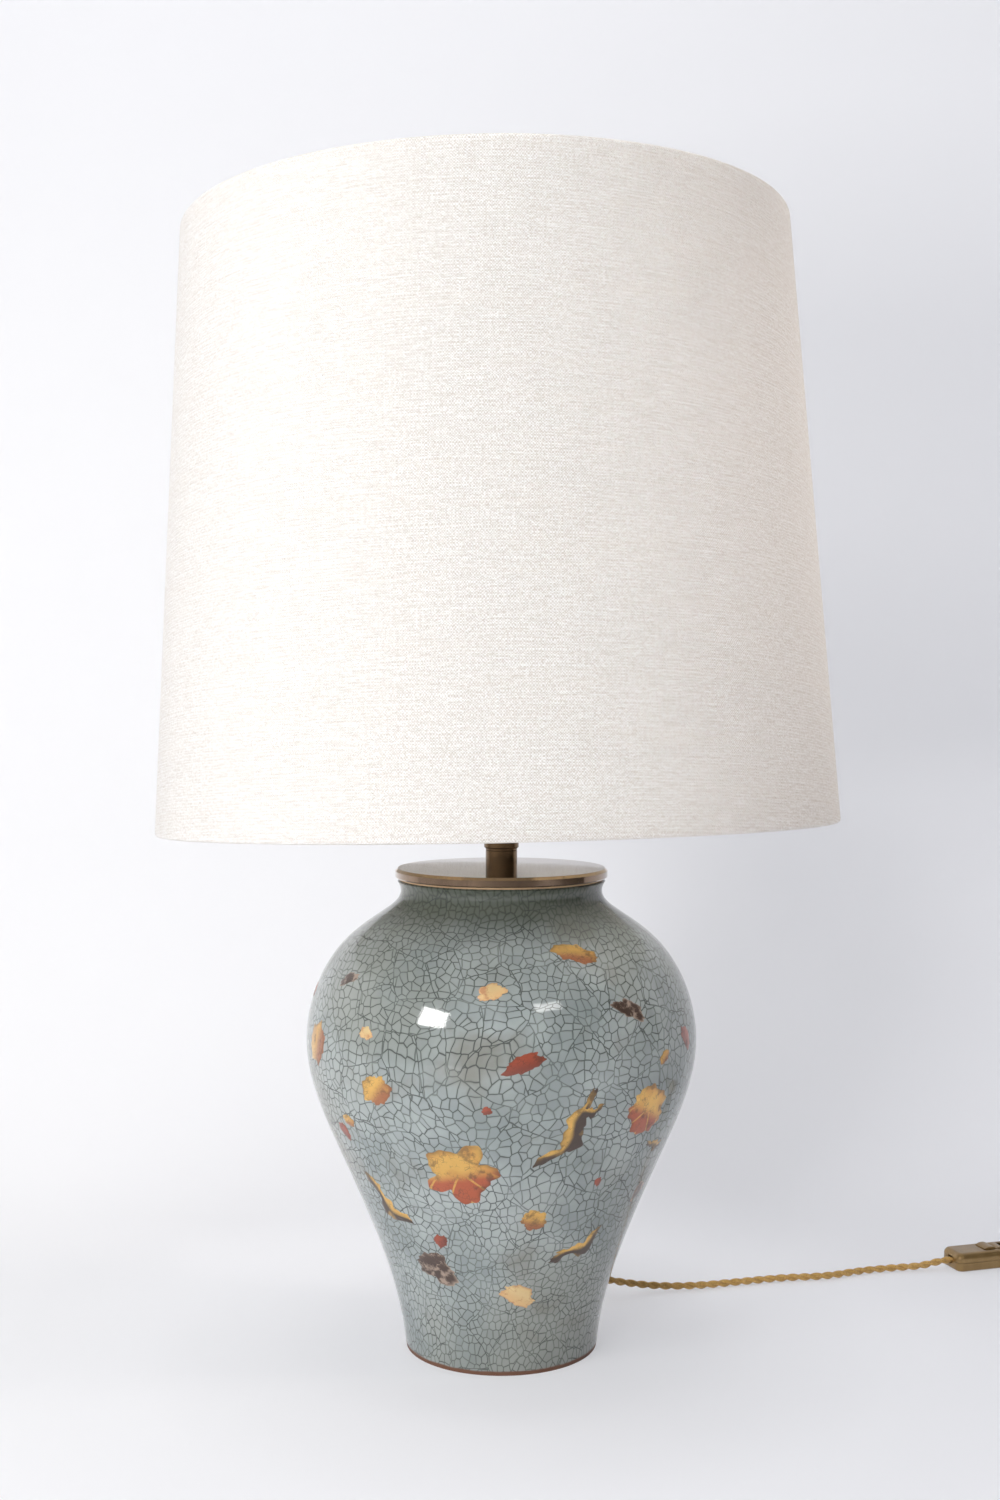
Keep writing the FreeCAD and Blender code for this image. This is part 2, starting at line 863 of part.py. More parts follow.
def build_bulb():
    """A standard bulb: solder tip, insulator, screw base and a pear-shaped envelope."""
    tip = size.bulb_tip_height
    base_top = tip + size.bulb_base_height
    tip_piece = new_body("bulb_tip")
    corners = [
        (0, 0),
        (size.bulb_tip_radius - 1, 0),
        (size.bulb_tip_radius, 0.9),
        (size.bulb_tip_radius, 1.2),
        (0, 1.2),
    ]
    revolve(tip_piece, corners)
    place(tip_piece, z=bulb_level)

    insulator = new_body("bulb_insulator")
    corners = [
        (0, 1.2),
        (size.bulb_tip_radius + 0.4, 1.2),
        (size.bulb_base_radius - 2.6, tip),
        (0, tip),
    ]
    revolve(insulator, corners)
    place(insulator, z=bulb_level)

    base = new_body("bulb_base")
    corners = [
        (0, tip),
        (size.bulb_base_radius - 2.2, tip),
        (size.bulb_base_radius, tip + 3),
        (size.bulb_base_radius, base_top),
        (size.bulb_base_radius - 0.6, base_top),
        (size.bulb_base_radius - 0.6, tip + 3.4),
        (size.bulb_base_radius - 2.6, tip + 0.6),
        (0, tip + 0.6),
    ]
    revolve(base, corners)
    place(base, z=bulb_level)

    globe = float(size.bulb_globe_radius)
    wall = float(size.bulb_wall)
    neck = float(size.bulb_base_radius) - 0.9
    centre = float(size.bulb_length) - globe
    start = float(base_top) - 5
    glass = new_body("bulb_glass")
    corners = [
        (neck, start),
        (0, size.bulb_length),
        (0, size.bulb_length - size.bulb_wall),
        (neck - wall, start),
    ]
    outer = bulb_curve(neck, start, globe, centre)
    inner = bulb_curve(neck - wall, start, globe - wall, centre)
    revolve(glass, corners, {0: outer, 2: inner[::-1]})
    place(glass, z=bulb_level)


def bulb_curve(neck, start, globe, centre):
    """Return points from the neck up round the globe, short of its crown."""
    points = [Vector(neck + 0.2, start + 8, 0)]
    for angle in (-38, -12, 15, 42, 68):
        turned = math.radians(angle)
        x = globe * math.cos(turned)
        y = centre + globe * math.sin(turned)
        points.append(Vector(x, y, 0))
    return points


# ---------------------------------------------------------------- shade


def shade_placement():
    """Return where the shade's own axis stands: leaning on its uneven arms."""
    lean = turn("x", -float(size.shade_lean_back)) * turn("y", -float(size.shade_lean_left))
    level = float(fitter_level) + float(size.fitter_thickness) / 2
    stand = Vector(-float(size.shade_shift_left), 0, level)
    return Placement(stand, lean)


def put_on_shade(item):
    """Place a sub-part drawn in the shade's frame, with its position bound to the table."""
    placement = shade_placement()
    place(
        item,
        -size.shade_shift_left,
        0,
        fitter_level + size.fitter_thickness / 2,
        placement.Rotation,
    )


def shade_profile():
    """Return a function from (distance up the slant, depth inward) to (radius, height)."""
    bottom = float(size.shade_bottom_radius)
    run = float(size.shade_top_radius) - bottom
    rise = float(size.shade_height)
    slant = math.hypot(run, rise)
    along = (run / slant, rise / slant)
    inward = (-along[1], along[0])
    low = -float(size.shade_drop)

    def at(up, depth):
        radius = bottom + along[0] * up + inward[0] * depth
        height = low + along[1] * up + inward[1] * depth
        return (radius, height)

    return at, slant


def build_shade_cover():
    """The linen cover: a tapered drum whose edges are folded in round the wires."""
    at, slant = shade_profile()
    cloth = float(size.cover_thickness)
    fold = 2 * cloth + 2 * float(size.wire_radius) + 0.2
    hem = float(size.hem_length)
    profile = [
        at(0.8, 0),
        at(slant - 0.8, 0),
        at(slant, 0.8),
        at(slant, fold - 0.8),
        at(slant - 0.8, fold),
        at(slant - hem, fold),
        at(slant - hem, fold - cloth),
        at(slant - cloth, fold - cloth),
        at(slant - cloth, cloth),
        at(cloth, cloth),
        at(cloth, fold - cloth),
        at(hem, fold - cloth),
        at(hem, fold),
        at(0.8, fold),
        at(0, fold - 0.8),
        at(0, 0.8),
    ]
    cover = new_body("shade_cover")
    revolve(cover, profile)
    inner_radius, _ = at(0, fold + 1)
    outer_radius, _ = at(hem, fold - cloth - 0.6)
    half = size.arm_notch_width / 2
    notch = new_sketch(cover, "XY_Plane", "ArmNotch")
    draw_rectangle(notch, inner_radius - 1, outer_radius, -half, half)
    lift_sketch(notch, 0.15 + size.cover_thickness - size.shade_drop)
    cut = pocket(cover, notch, size.hem_length + 1, reverse=True)
    repeat_round(cover, cut, size.arm_count)
    put_on_shade(cover)
    spin = turn("z", size.arm_azimuth)
    cover.Placement = Placement(cover.Placement.Base, cover.Placement.Rotation * spin)


def build_shade_liner():
    """The white backing that stiffens the linen between the hems."""
    at, slant = shade_profile()
    outer = float(size.cover_thickness) + float(size.liner_gap)
    inner = outer + float(size.liner_thickness)
    margin = float(size.hem_length) + 0.5
    liner = new_body("shade_liner")
    profile = [
        at(margin, outer),
        at(slant - margin, outer),
        at(slant - margin, inner),
        at(margin, inner),
    ]
    revolve(liner, profile)
    put_on_shade(liner)


def build_shade_wire(name, up):
    """A wire ring lying in the fold of the cover."""
    at, _ = shade_profile()
    radius, height = at(up, wire_depth())
    wire = doc.addObject("Part::Torus", name)
    wire.Label = name
    wire.Radius1 = radius
    wire.Radius2 = float(size.wire_radius)
    wire.setExpression("Radius2", size.wire_radius.text)
    tilt = shade_placement()
    wire.Placement = tilt.multiply(Placement(Vector(0, 0, height), Rotation()))
    nodes.append(wire)


def wire_depth():
    """Return how far inside the cover's surface a wire's centre lies."""
    return float(size.cover_thickness) + float(size.wire_radius) + 0.1


def build_fitter():
    """The level fitter ring and the three bent arms down to the bottom wire."""
    fitter = new_body("shade_fitter")
    plan = new_sketch(fitter, "XY_Plane", "Plan")
    draw_circle(plan, 0, 0, size.fitter_radius)
    draw_circle(plan, 0, 0, size.fitter_bore / 2)
    pad(fitter, plan, size.fitter_thickness)
    place(fitter, z=fitter_level)

    at, _ = shade_profile()
    wire_radius, wire_height = at(wire_depth(), wire_depth())
    tilt = shade_placement()
    count = int(float(size.arm_count))
    for number in range(count):
        azimuth = math.radians(float(size.arm_azimuth) + 360 / count * number)
        outward = Vector(math.cos(azimuth), math.sin(azimuth), 0)
        middle = Vector(0, 0, tilt.Base.z)
        start = middle + outward * (float(size.fitter_radius) + 0.05)
        knee = middle + outward * float(size.arm_knee_radius)
        reach = wire_radius - float(size.wire_radius) - 0.1
        weld = tilt.multVec(outward * reach + Vector(0, 0, wire_height))
        inner = tilt.multVec(outward * (reach - 26) + Vector(0, 0, wire_height + 0.6))
        path = rounded_route([start, knee, inner, weld], f"shade_arm_{number + 1}")
        new_tube(f"shade_arm_{number + 1}", path, size.arm_radius)


# ---------------------------------------------------------------- cord


def outlet_plane_point(radius, height):
    """Return a point in the upright plane through the outlet, from the jar's axis."""
    azimuth = math.radians(float(size.outlet_azimuth))
    return Vector(radius * math.cos(azimuth), radius * math.sin(azimuth), height)


def build_inner_lead(rod_top):
    """The lead inside the jar: from the bush up the hollow rod to the holder."""
    bush_inner = -(float(size.jar_wall) + 3)
    points = [
        outlet_point(bush_inner),
        outlet_point(bush_inner - 18),
        outlet_plane_point(29, 46),
        outlet_plane_point(18, 76),
        outlet_plane_point(20, 130),
        outlet_plane_point(12, 212),
        outlet_plane_point(0, 297),
        outlet_plane_point(0, rod_top + 4.6),
    ]
    path = rounded_route(points, "inner_lead")
    new_tube("inner_lead", path, size.cord_radius)


def switch_end(far):
    """Return the centre of the switch's cord hole at its near or far end."""
    yaw = math.radians(float(size.switch_yaw))
    reach = float(size.switch_length) if far else 0.0
    x = float(size.switch_x) + reach * math.cos(yaw)
    y = float(size.switch_y) + reach * math.sin(yaw)
    return Vector(x, y, float(size.switch_parting))


def build_cord_to_switch():
    """The free cord: out of the jar's back, down to the floor and along to the switch."""
    floor = float(size.cord_radius) + float(size.coil_floor_gap)
    bush_face = float(size.bush_flange_thickness) + 0.8
    points = [
        outlet_point(bush_face),
        outlet_point(bush_face + 19),
        Vector(87, 98, 13),
        Vector(122, 110, 4.6),
        Vector(158, 114.5, floor),
        Vector(200, 126.5, floor),
        Vector(235, 136, floor),
        Vector(268, 138.5, floor),
        Vector(300, 153.5, floor),
        Vector(329, 161, floor),
        Vector(351, 163, floor + 0.6),
        Vector(367, 166.8, 6.6),
        switch_end(False),
    ]
    path = rounded_route(points, "cord_to_switch")
    new_tube("cord_to_switch", path, size.cord_radius)


def coil_half_turns():
    """Return the coil's half turns as (centre, radius, start angle, level) and its exit."""
    half_pitch = float(size.coil_pitch) / 2
    flat = int(float(size.coil_flat_turns))
    level = float(size.cord_radius) + float(size.coil_floor_gap)
    radius = float(size.coil_radius)
    centre = Vector(float(size.coil_x), float(size.coil_y), 0)
    angle = -math.pi / 2
    turns = []
    for step in range(2 * flat + 2):
        turns.append((centre, radius, angle, level))
        climbing = step == flat
        change = -half_pitch if step < flat else half_pitch
        if climbing:
            level += float(size.coil_layer_rise)
        angle += math.pi
        heading = Vector(math.cos(angle), math.sin(angle), 0)
        centre = centre + heading * -change
        radius += change
    return turns


def point_on(turn_data, share):
    """Return a point on a flat half turn, share 0 to 1 along it."""
    centre, radius, angle, level = turn_data
    turned = angle + share * math.pi
    return centre + Vector(radius * math.cos(turned), radius * math.sin(turned), level)


def coil_path():
    """Return the coil's centreline: in over one layer, a climb, and out over the next."""
    turns = coil_half_turns()
    flat = int(float(size.coil_flat_turns))
    edges = []
    entry = point_on(turns[0], 0)
    lead = float(size.coil_lead)
    edges.append(Part.LineSegment(entry - Vector(lead, 0, 0), entry).toShape())
    for step, data in enumerate(turns):
        start = point_on(data, 0)
        if step == flat:
            end = point_on(turns[step + 1], 0)
            heading = start - data[0] - Vector(0, 0, data[3])
            along = Vector(-heading.y, heading.x, 0).normalize()
            reach = (end - start).Length / 2
            first = start + along * reach
            second = end + along * reach
            middle = (first + second) / 2
            edges.append(corner_arc(start, first, middle).toShape())
            edges.append(corner_arc(middle, second, end).toShape())
        else:
            for share in (0, 0.5):
                ends = [point_on(data, share + part) for part in (0, 0.25, 0.5)]
                edges.append(Part.Arc(*ends).toShape())
    leaving = point_on(turns[-1], 1)
    edges.append(Part.LineSegment(leaving, leaving + Vector(lead, 0, 0)).toShape())
    return Part.Wire(edges), entry - Vector(lead, 0, 0), leaving + Vector(lead, 0, 0)


def least_gap(path, diameter):
    """Return the least clear gap between stretches of the coil, measured on points."""
    spacing = 2.5
    points = path.discretize(int(path.Length / spacing))
    skip = int(2.2 * diameter / spacing)
    least = math.inf
    for index, point in enumerate(points):
        for other in points[index + skip:]:
            least = min(least, point.distanceToPoint(other))
    return least - diameter


def build_cord_coil():
    """The spare length as one unbroken tube, coiled in two layers."""
    path, entry, leaving = coil_path()
    print("cord_coil least gap", round(least_gap(path, 2 * float(size.cord_radius)), 2))
    new_tube("cord_coil", path, size.cord_radius)
    return entry, leaving


def build_cord_to_coil(entry):
    """The free cord from the switch down to the coil."""
    floor = float(size.cord_radius) + float(size.coil_floor_gap)
    start = switch_end(True)
    yaw = math.radians(float(size.switch_yaw))
    straight = start + Vector(math.cos(yaw), math.sin(yaw), -0.03) * 10
    points = [
        start,
        straight,
        Vector(484, 199.6, floor + 0.1),
        entry - Vector(18, 0, 0),
        entry,
    ]
    path = rounded_route(points, "cord_to_coil")
    new_tube("cord_to_coil", path, size.cord_radius)


def plug_heading():
    """Return the direction in which the plug's pins point."""
    yaw = math.radians(float(size.plug_yaw))
    return Vector(math.cos(yaw), math.sin(yaw), 0)


def plug_tail():
    """Return the centre of the plug's cord end."""
    level = float(size.plug_thickness) / 2
    return Vector(float(size.plug_x), float(size.plug_y), level)


def build_cord_to_plug(leaving):
    """The last free stretch, down off the coil into the plug's strain relief."""
    end = plug_tail()
    points = [
        leaving,
        leaving + Vector(13, 0, 0),
        end - plug_heading() * 12,
        end,
    ]
    path = rounded_route(points, "cord_to_plug")
    new_tube("cord_to_plug", path, size.cord_radius)


# ---------------------------------------------------------------- hand switch


def rounded_block(name, length, width, low, high, corner):
    """Pad a rectangle centred on the axis with rounded upright corners."""
    body = new_body(name)
    plan = new_sketch(body, "XY_Plane", "Plan")
    draw_rectangle(plan, 0, length, -width / 2, width / 2)
    lift_sketch(plan, low)
    block = pad(body, plan, high - low)
    upright = edges_where(block, lambda edge, middle: abs(edge.tangentAt(0).z) > 0.99)
    return body, dress(body, "Fillet", block, upright, corner)


def put_on_switch(item):
    """Place a sub-part drawn in the switch's frame."""
    place(item, size.switch_x, size.switch_y, 0, turn("z", size.switch_yaw))


def screw_places():
    """Return where the two case screws stand along the switch."""
    middle = size.switch_length / 2
    return [middle - size.screw_spacing / 2, middle + size.screw_spacing / 2]


def cut_cord_grooves(body, name):
    """Cut the half-round grooves in which the cord enters the case at both ends."""
    groove = new_sketch(body, "YZ_Plane", name)
    draw_circle(groove, 0, size.switch_parting, size.cord_radius + 0.15)
    pocket(body, groove, size.switch_wall * 3, reverse=True)
    far = new_sketch(body, "YZ_Plane", f"{name}Far")
    draw_circle(far, 0, size.switch_parting, size.cord_radius + 0.15)
    lift_sketch(far, size.switch_length - size.switch_wall * 3)
    pocket(body, far, size.switch_wall * 3, reverse=True)


def build_switch_lower():
    """The lower half of the case: hollow, with screw recesses in its underside."""
    length, width = size.switch_length, size.switch_width
    parting, wall = size.switch_parting, size.switch_wall
    body, block = rounded_block("switch_lower", length, width, 0, parting, size.switch_corner)
    rim = edges_where(block, lambda edge, middle: middle.z < 0.01)
    dress(body, "Fillet", block, rim, size.switch_edge)
    hollow = new_sketch(body, "XY_Plane", "Hollow")
    inset = wall * 3
    side = width / 2 - wall
    draw_rectangle(hollow, inset * 2.6, length - inset * 2.6, -side, side)
    lift_sketch(hollow, wall)
    pocket(body, hollow, parting - wall, reverse=True)
    screws = new_sketch(body, "XY_Plane", "Screws")
    recess = new_sketch(body, "XY_Plane", "Recesses")
    for x in screw_places():
        draw_circle(screws, x, 0, size.screw_radius + 0.1)
        draw_circle(recess, x, 0, size.screw_head_radius + 0.2)
    pocket(body, screws, reverse=True)
    pocket(body, recess, size.screw_head_depth + 0.5, reverse=True)
    cut_cord_grooves(body, "Groove")
    put_on_switch(body)


def build_switch_upper():
    """The upper half of the case, with the rocker's window and its cheeks."""
    length, width = size.switch_length, size.switch_width
    parting, top, wall = size.switch_parting, size.switch_height, size.switch_wall
    low = parting + 0.1
    body, block = rounded_block("switch_upper", length, width, low, top, size.switch_corner)
    rim = edges_where(block, lambda edge, middle: middle.z > float(top) - 0.01)
    dress(body, "Fillet", block, rim, size.switch_edge)
    middle = length / 2
    window_x = size.rocker_length / 2 + size.rocker_clearance
    window_y = size.rocker_width / 2 + size.rocker_clearance
    window = new_sketch(body, "XY_Plane", "Window")
    draw_rectangle(window, middle - window_x, middle + window_x, -window_y, window_y)
    pocket(body, window, reverse=True)
    bosses = new_sketch(body, "XY_Plane", "BossHoles")
    for x in screw_places():
        draw_circle(bosses, x, 0, size.screw_radius + 0.05)
    lift_sketch(bosses, low)
    pocket(body, bosses, top - low - wall, reverse=True)
    pin = new_sketch(body, "XZ_Plane", "PinHole")
    draw_circle(pin, middle, top - size.rocker_pivot_drop, size.rocker_pin_radius)
    cheek = window_y + 3
    lift_sketch(pin, -cheek)
    pocket(body, pin, cheek * 2, reverse=True)
    cut_cord_grooves(body, "Groove")
    put_on_switch(body)


def build_switch_small_parts():
    """The rocker's pin, the case screws and the two-lobed rocker."""
    middle = size.switch_length / 2
    pivot = size.switch_height - size.rocker_pivot_drop
    pin = new_body("switch_pin")
    section = new_sketch(pin, "XZ_Plane", "Section")
    draw_circle(section, middle, pivot, size.rocker_pin_radius)
    pad(pin, section, size.rocker_width + 6, symmetric=True)
    put_on_switch(pin)

    screws = new_body("switch_screws")
    screws.AllowCompound = True
    heads = new_sketch(screws, "XY_Plane", "Heads")
    shanks = new_sketch(screws, "XY_Plane", "Shanks")
    for x in screw_places():
        draw_circle(heads, x, 0, size.screw_head_radius)
        draw_circle(shanks, x, 0, size.screw_radius)
    lift_sketch(heads, 0.5)
    lift_sketch(shanks, 0.5 + size.screw_head_depth)
    pad(screws, heads, size.screw_head_depth)
    pad(screws, shanks, size.switch_height - size.switch_wall - 3 - size.screw_head_depth)
    put_on_switch(screws)

    rocker = new_body("switch_rocker")
    half = size.rocker_length / 2
    lobe = size.rocker_lobe
    corners = [
        (-half, -1.0),
        (-half, 1.0),
        (0, 1.9),
        (half, 1.0),
        (half, -1.0),
        (2.6, -3.0),
        (-2.6, -3.0),
    ]
    rise = float(lobe)
    reach = float(half)
    left = [Vector(-0.72 * reach, 0.8 * rise, 0), Vector(-0.42 * reach, rise, 0)]
    right = [Vector(0.42 * reach, rise, 0), Vector(0.72 * reach, 0.8 * rise, 0)]
    profile = new_sketch(rocker, "XZ_Plane", "Profile")
    draw_outline(profile, corners, {1: left, 2: right})
    bore = size.rocker_pin_radius + size.rocker_pin_clearance
    draw_circle(profile, 0, 0, bore)
    pad(rocker, profile, size.rocker_width, symmetric=True)
    yaw = turn("z", size.switch_yaw)
    centre = yaw.multVec(Vector(float(middle), 0, 0))
    stand = centre + Vector(float(size.switch_x), float(size.switch_y), float(pivot))
    place(rocker, stand.x, stand.y, stand.z, yaw * turn("y", size.rocker_tilt))


# ---------------------------------------------------------------- plug


def put_on_plug(item):
    """Place a sub-part drawn in the plug's frame."""
    place(
        item,
        size.plug_x,
        size.plug_y,
        size.plug_thickness / 2,
        turn("z", size.plug_yaw),
    )


def build_plug():
    """A flat two-pin plug: waisted body, tapered strain relief and two round pins."""
    relief = size.plug_relief_length
    face = relief + size.plug_length
    half = size.plug_width / 2
    waist = size.plug_waist / 2
    body = new_body("plug_body")
    plan = new_sketch(body, "XY_Plane", "Plan")
    corners = [
        (relief, -waist),
        (relief + size.plug_length / 2, -half),
        (face, -half),
        (face, half),
        (relief + size.plug_length / 2, half),
        (relief, waist),
    ]
    draw_outline(plan, corners)
    block = pad(body, plan, size.plug_thickness, symmetric=True)
    level = float(size.plug_thickness) / 2
    flat = edges_where(
        block,
        lambda edge, middle: abs(abs(middle.z) - level) < 0.01 and middle.x < float(face) - 0.01,
    )
    dress(body, "Fillet", block, flat, size.plug_edge)
    taper = new_sketch(body, "XY_Plane", "Relief")
    corners = [
        (0, 0),
        (relief + 2, 0),
        (relief + 2, size.plug_relief_radius),
        (0, size.cord_radius + size.plug_relief_wall),
    ]
    draw_outline(taper, corners)
    relief_cone = body.newObject("PartDesign::Revolution", "plug_body_Relief")
    relief_cone.Profile = taper
    relief_cone.ReferenceAxis = (taper, ["H_Axis"])
    relief_cone.Angle = 360
    put_on_plug(body)

    pins = new_body("plug_pins")
    pins.AllowCompound = True
    rounds = new_sketch(pins, "YZ_Plane", "Pins")
    for side in (-1, 1):
        draw_circle(rounds, size.pin_spacing / 2 * side, 0, size.pin_radius)
    lift_sketch(rounds, face)
    shanks = pad(pins, rounds, size.pin_length)
    end = float(face) + float(size.pin_length)
    ends = edges_where(shanks, lambda edge, middle: abs(middle.x - end) < 0.01)
    dress(pins, "Chamfer", shanks, ends, 0.7)
    put_on_plug(pins)


# ---------------------------------------------------------------- assembly

build_jar()
build_cord_bush()
build_cork_ring()
build_cap()
clamp_bottom = build_clamp()
top_of_rod = build_rod(clamp_bottom)
build_neck()
build_holder()
build_shade_rings()
build_bulb()
build_shade_cover()
build_shade_liner()
build_shade_wire("shade_wire_bottom", wire_depth())
build_shade_wire("shade_wire_top", shade_profile()[1] - wire_depth())
build_fitter()
build_inner_lead(top_of_rod)
build_cord_to_switch()
build_switch_lower()
build_switch_upper()
build_switch_small_parts()
coil_entry, coil_exit = build_cord_coil()
build_cord_to_coil(coil_entry)
build_cord_to_plug(coil_exit)
build_plug()

doc.recompute()
for item in doc.Objects:
    if "Invalid" in item.State or "Error" in item.State:
        raise RuntimeError(f"{item.Label} failed: {item.State}")
for node in nodes:
    if node.Shape.isNull() or not node.Shape.isValid():
        raise RuntimeError(f"{node.Label} has no valid shape")

os.makedirs("parts", exist_ok=True)
for node in nodes:
    node.Shape.exportStep(f"parts/{node.Label}.step")
print(len(nodes), "nodes written")
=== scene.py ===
"""Table lamp on a crackle-glazed ginger jar, with a linen drum shade and a corded hand switch.

Metres, +Z up, the front of the lamp towards -Y. The frame brings the construction, and this file
brings the finishes, the linen, the inlaid lacquer, the twisted cord and the studio.
"""

import json
import logging
import math
import random
from dataclasses import dataclass
from enum import Enum
from typing import Any, Protocol, Sequence, Union

import bmesh
import bpy
from mathutils import Matrix, Vector
from mathutils.bvhtree import BVHTree

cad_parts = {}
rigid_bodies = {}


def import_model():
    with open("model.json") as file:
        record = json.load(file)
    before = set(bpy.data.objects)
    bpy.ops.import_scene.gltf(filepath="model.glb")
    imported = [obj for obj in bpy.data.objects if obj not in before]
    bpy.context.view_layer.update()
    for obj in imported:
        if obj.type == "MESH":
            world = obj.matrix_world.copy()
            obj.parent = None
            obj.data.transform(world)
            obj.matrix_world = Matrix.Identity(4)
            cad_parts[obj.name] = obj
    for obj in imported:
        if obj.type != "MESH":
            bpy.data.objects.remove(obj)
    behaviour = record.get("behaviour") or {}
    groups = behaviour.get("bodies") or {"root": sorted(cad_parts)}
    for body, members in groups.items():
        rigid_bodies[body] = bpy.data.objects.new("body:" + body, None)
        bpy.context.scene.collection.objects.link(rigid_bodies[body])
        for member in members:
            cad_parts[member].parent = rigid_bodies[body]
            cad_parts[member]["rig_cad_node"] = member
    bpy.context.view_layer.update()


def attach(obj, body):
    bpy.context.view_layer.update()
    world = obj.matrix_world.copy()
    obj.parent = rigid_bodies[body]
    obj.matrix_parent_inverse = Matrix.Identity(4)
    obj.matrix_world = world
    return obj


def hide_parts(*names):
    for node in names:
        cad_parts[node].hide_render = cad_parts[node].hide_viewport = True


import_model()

log = logging.getLogger("ginger_jar_lamp")

Colour = tuple[float, float, float]
Number = Union[float, "Wire"]


# ---------------------------------------------------------------- shader wiring


class Wire:
    """An output socket that takes part in Python arithmetic."""

    def __init__(self, shader: "Shader", socket: bpy.types.NodeSocket) -> None:
        """Wrap a socket of one shader's tree."""
        self.shader = shader
        self.socket = socket

    def _math(self, operation: str, first: Number, second: Number) -> "Wire":
        """Add a Math node on two numbers."""
        return self.shader.node("ShaderNodeMath", {"operation": operation}, {0: first, 1: second})

    def __add__(self, other: Number) -> "Wire":
        """Add."""
        return self._math("ADD", self, other)

    def __sub__(self, other: Number) -> "Wire":
        """Subtract."""
        return self._math("SUBTRACT", self, other)

    def __rsub__(self, other: Number) -> "Wire":
        """Subtract this from a number."""
        return self._math("SUBTRACT", other, self)

    def __mul__(self, other: Number) -> "Wire":
        """Multiply."""
        return self._math("MULTIPLY", self, other)

    __radd__ = __add__
    __rmul__ = __mul__

    def larger(self, other: Number) -> "Wire":
        """Take the larger of two numbers."""
        return self._math("MAXIMUM", self, other)

    def power(self, exponent: float) -> "Wire":
        """Raise to a power."""
        return self._math("POWER", self, exponent)

    def size(self) -> "Wire":
        """Drop the sign."""
        return self._math("ABSOLUTE", self, 0.0)

    def wave(self) -> "Wire":
        """Take the sine."""
        return self._math("SINE", self, 0.0)

    def rise(self, low: float, high: float) -> "Wire":
        """Go smoothly between two values.

        Args:
            low: where it is 0.
            high: where it is 1; it may be the smaller.

        Returns:
            A number from 0 to 1.
        """
        falling = low > high
        ends = {1: min(low, high), 2: max(low, high), 3: float(falling), 4: float(not falling)}
        settings = {"interpolation_type": "SMOOTHSTEP"}
        return self.shader.node("ShaderNodeMapRange", settings, {0: self, **ends})


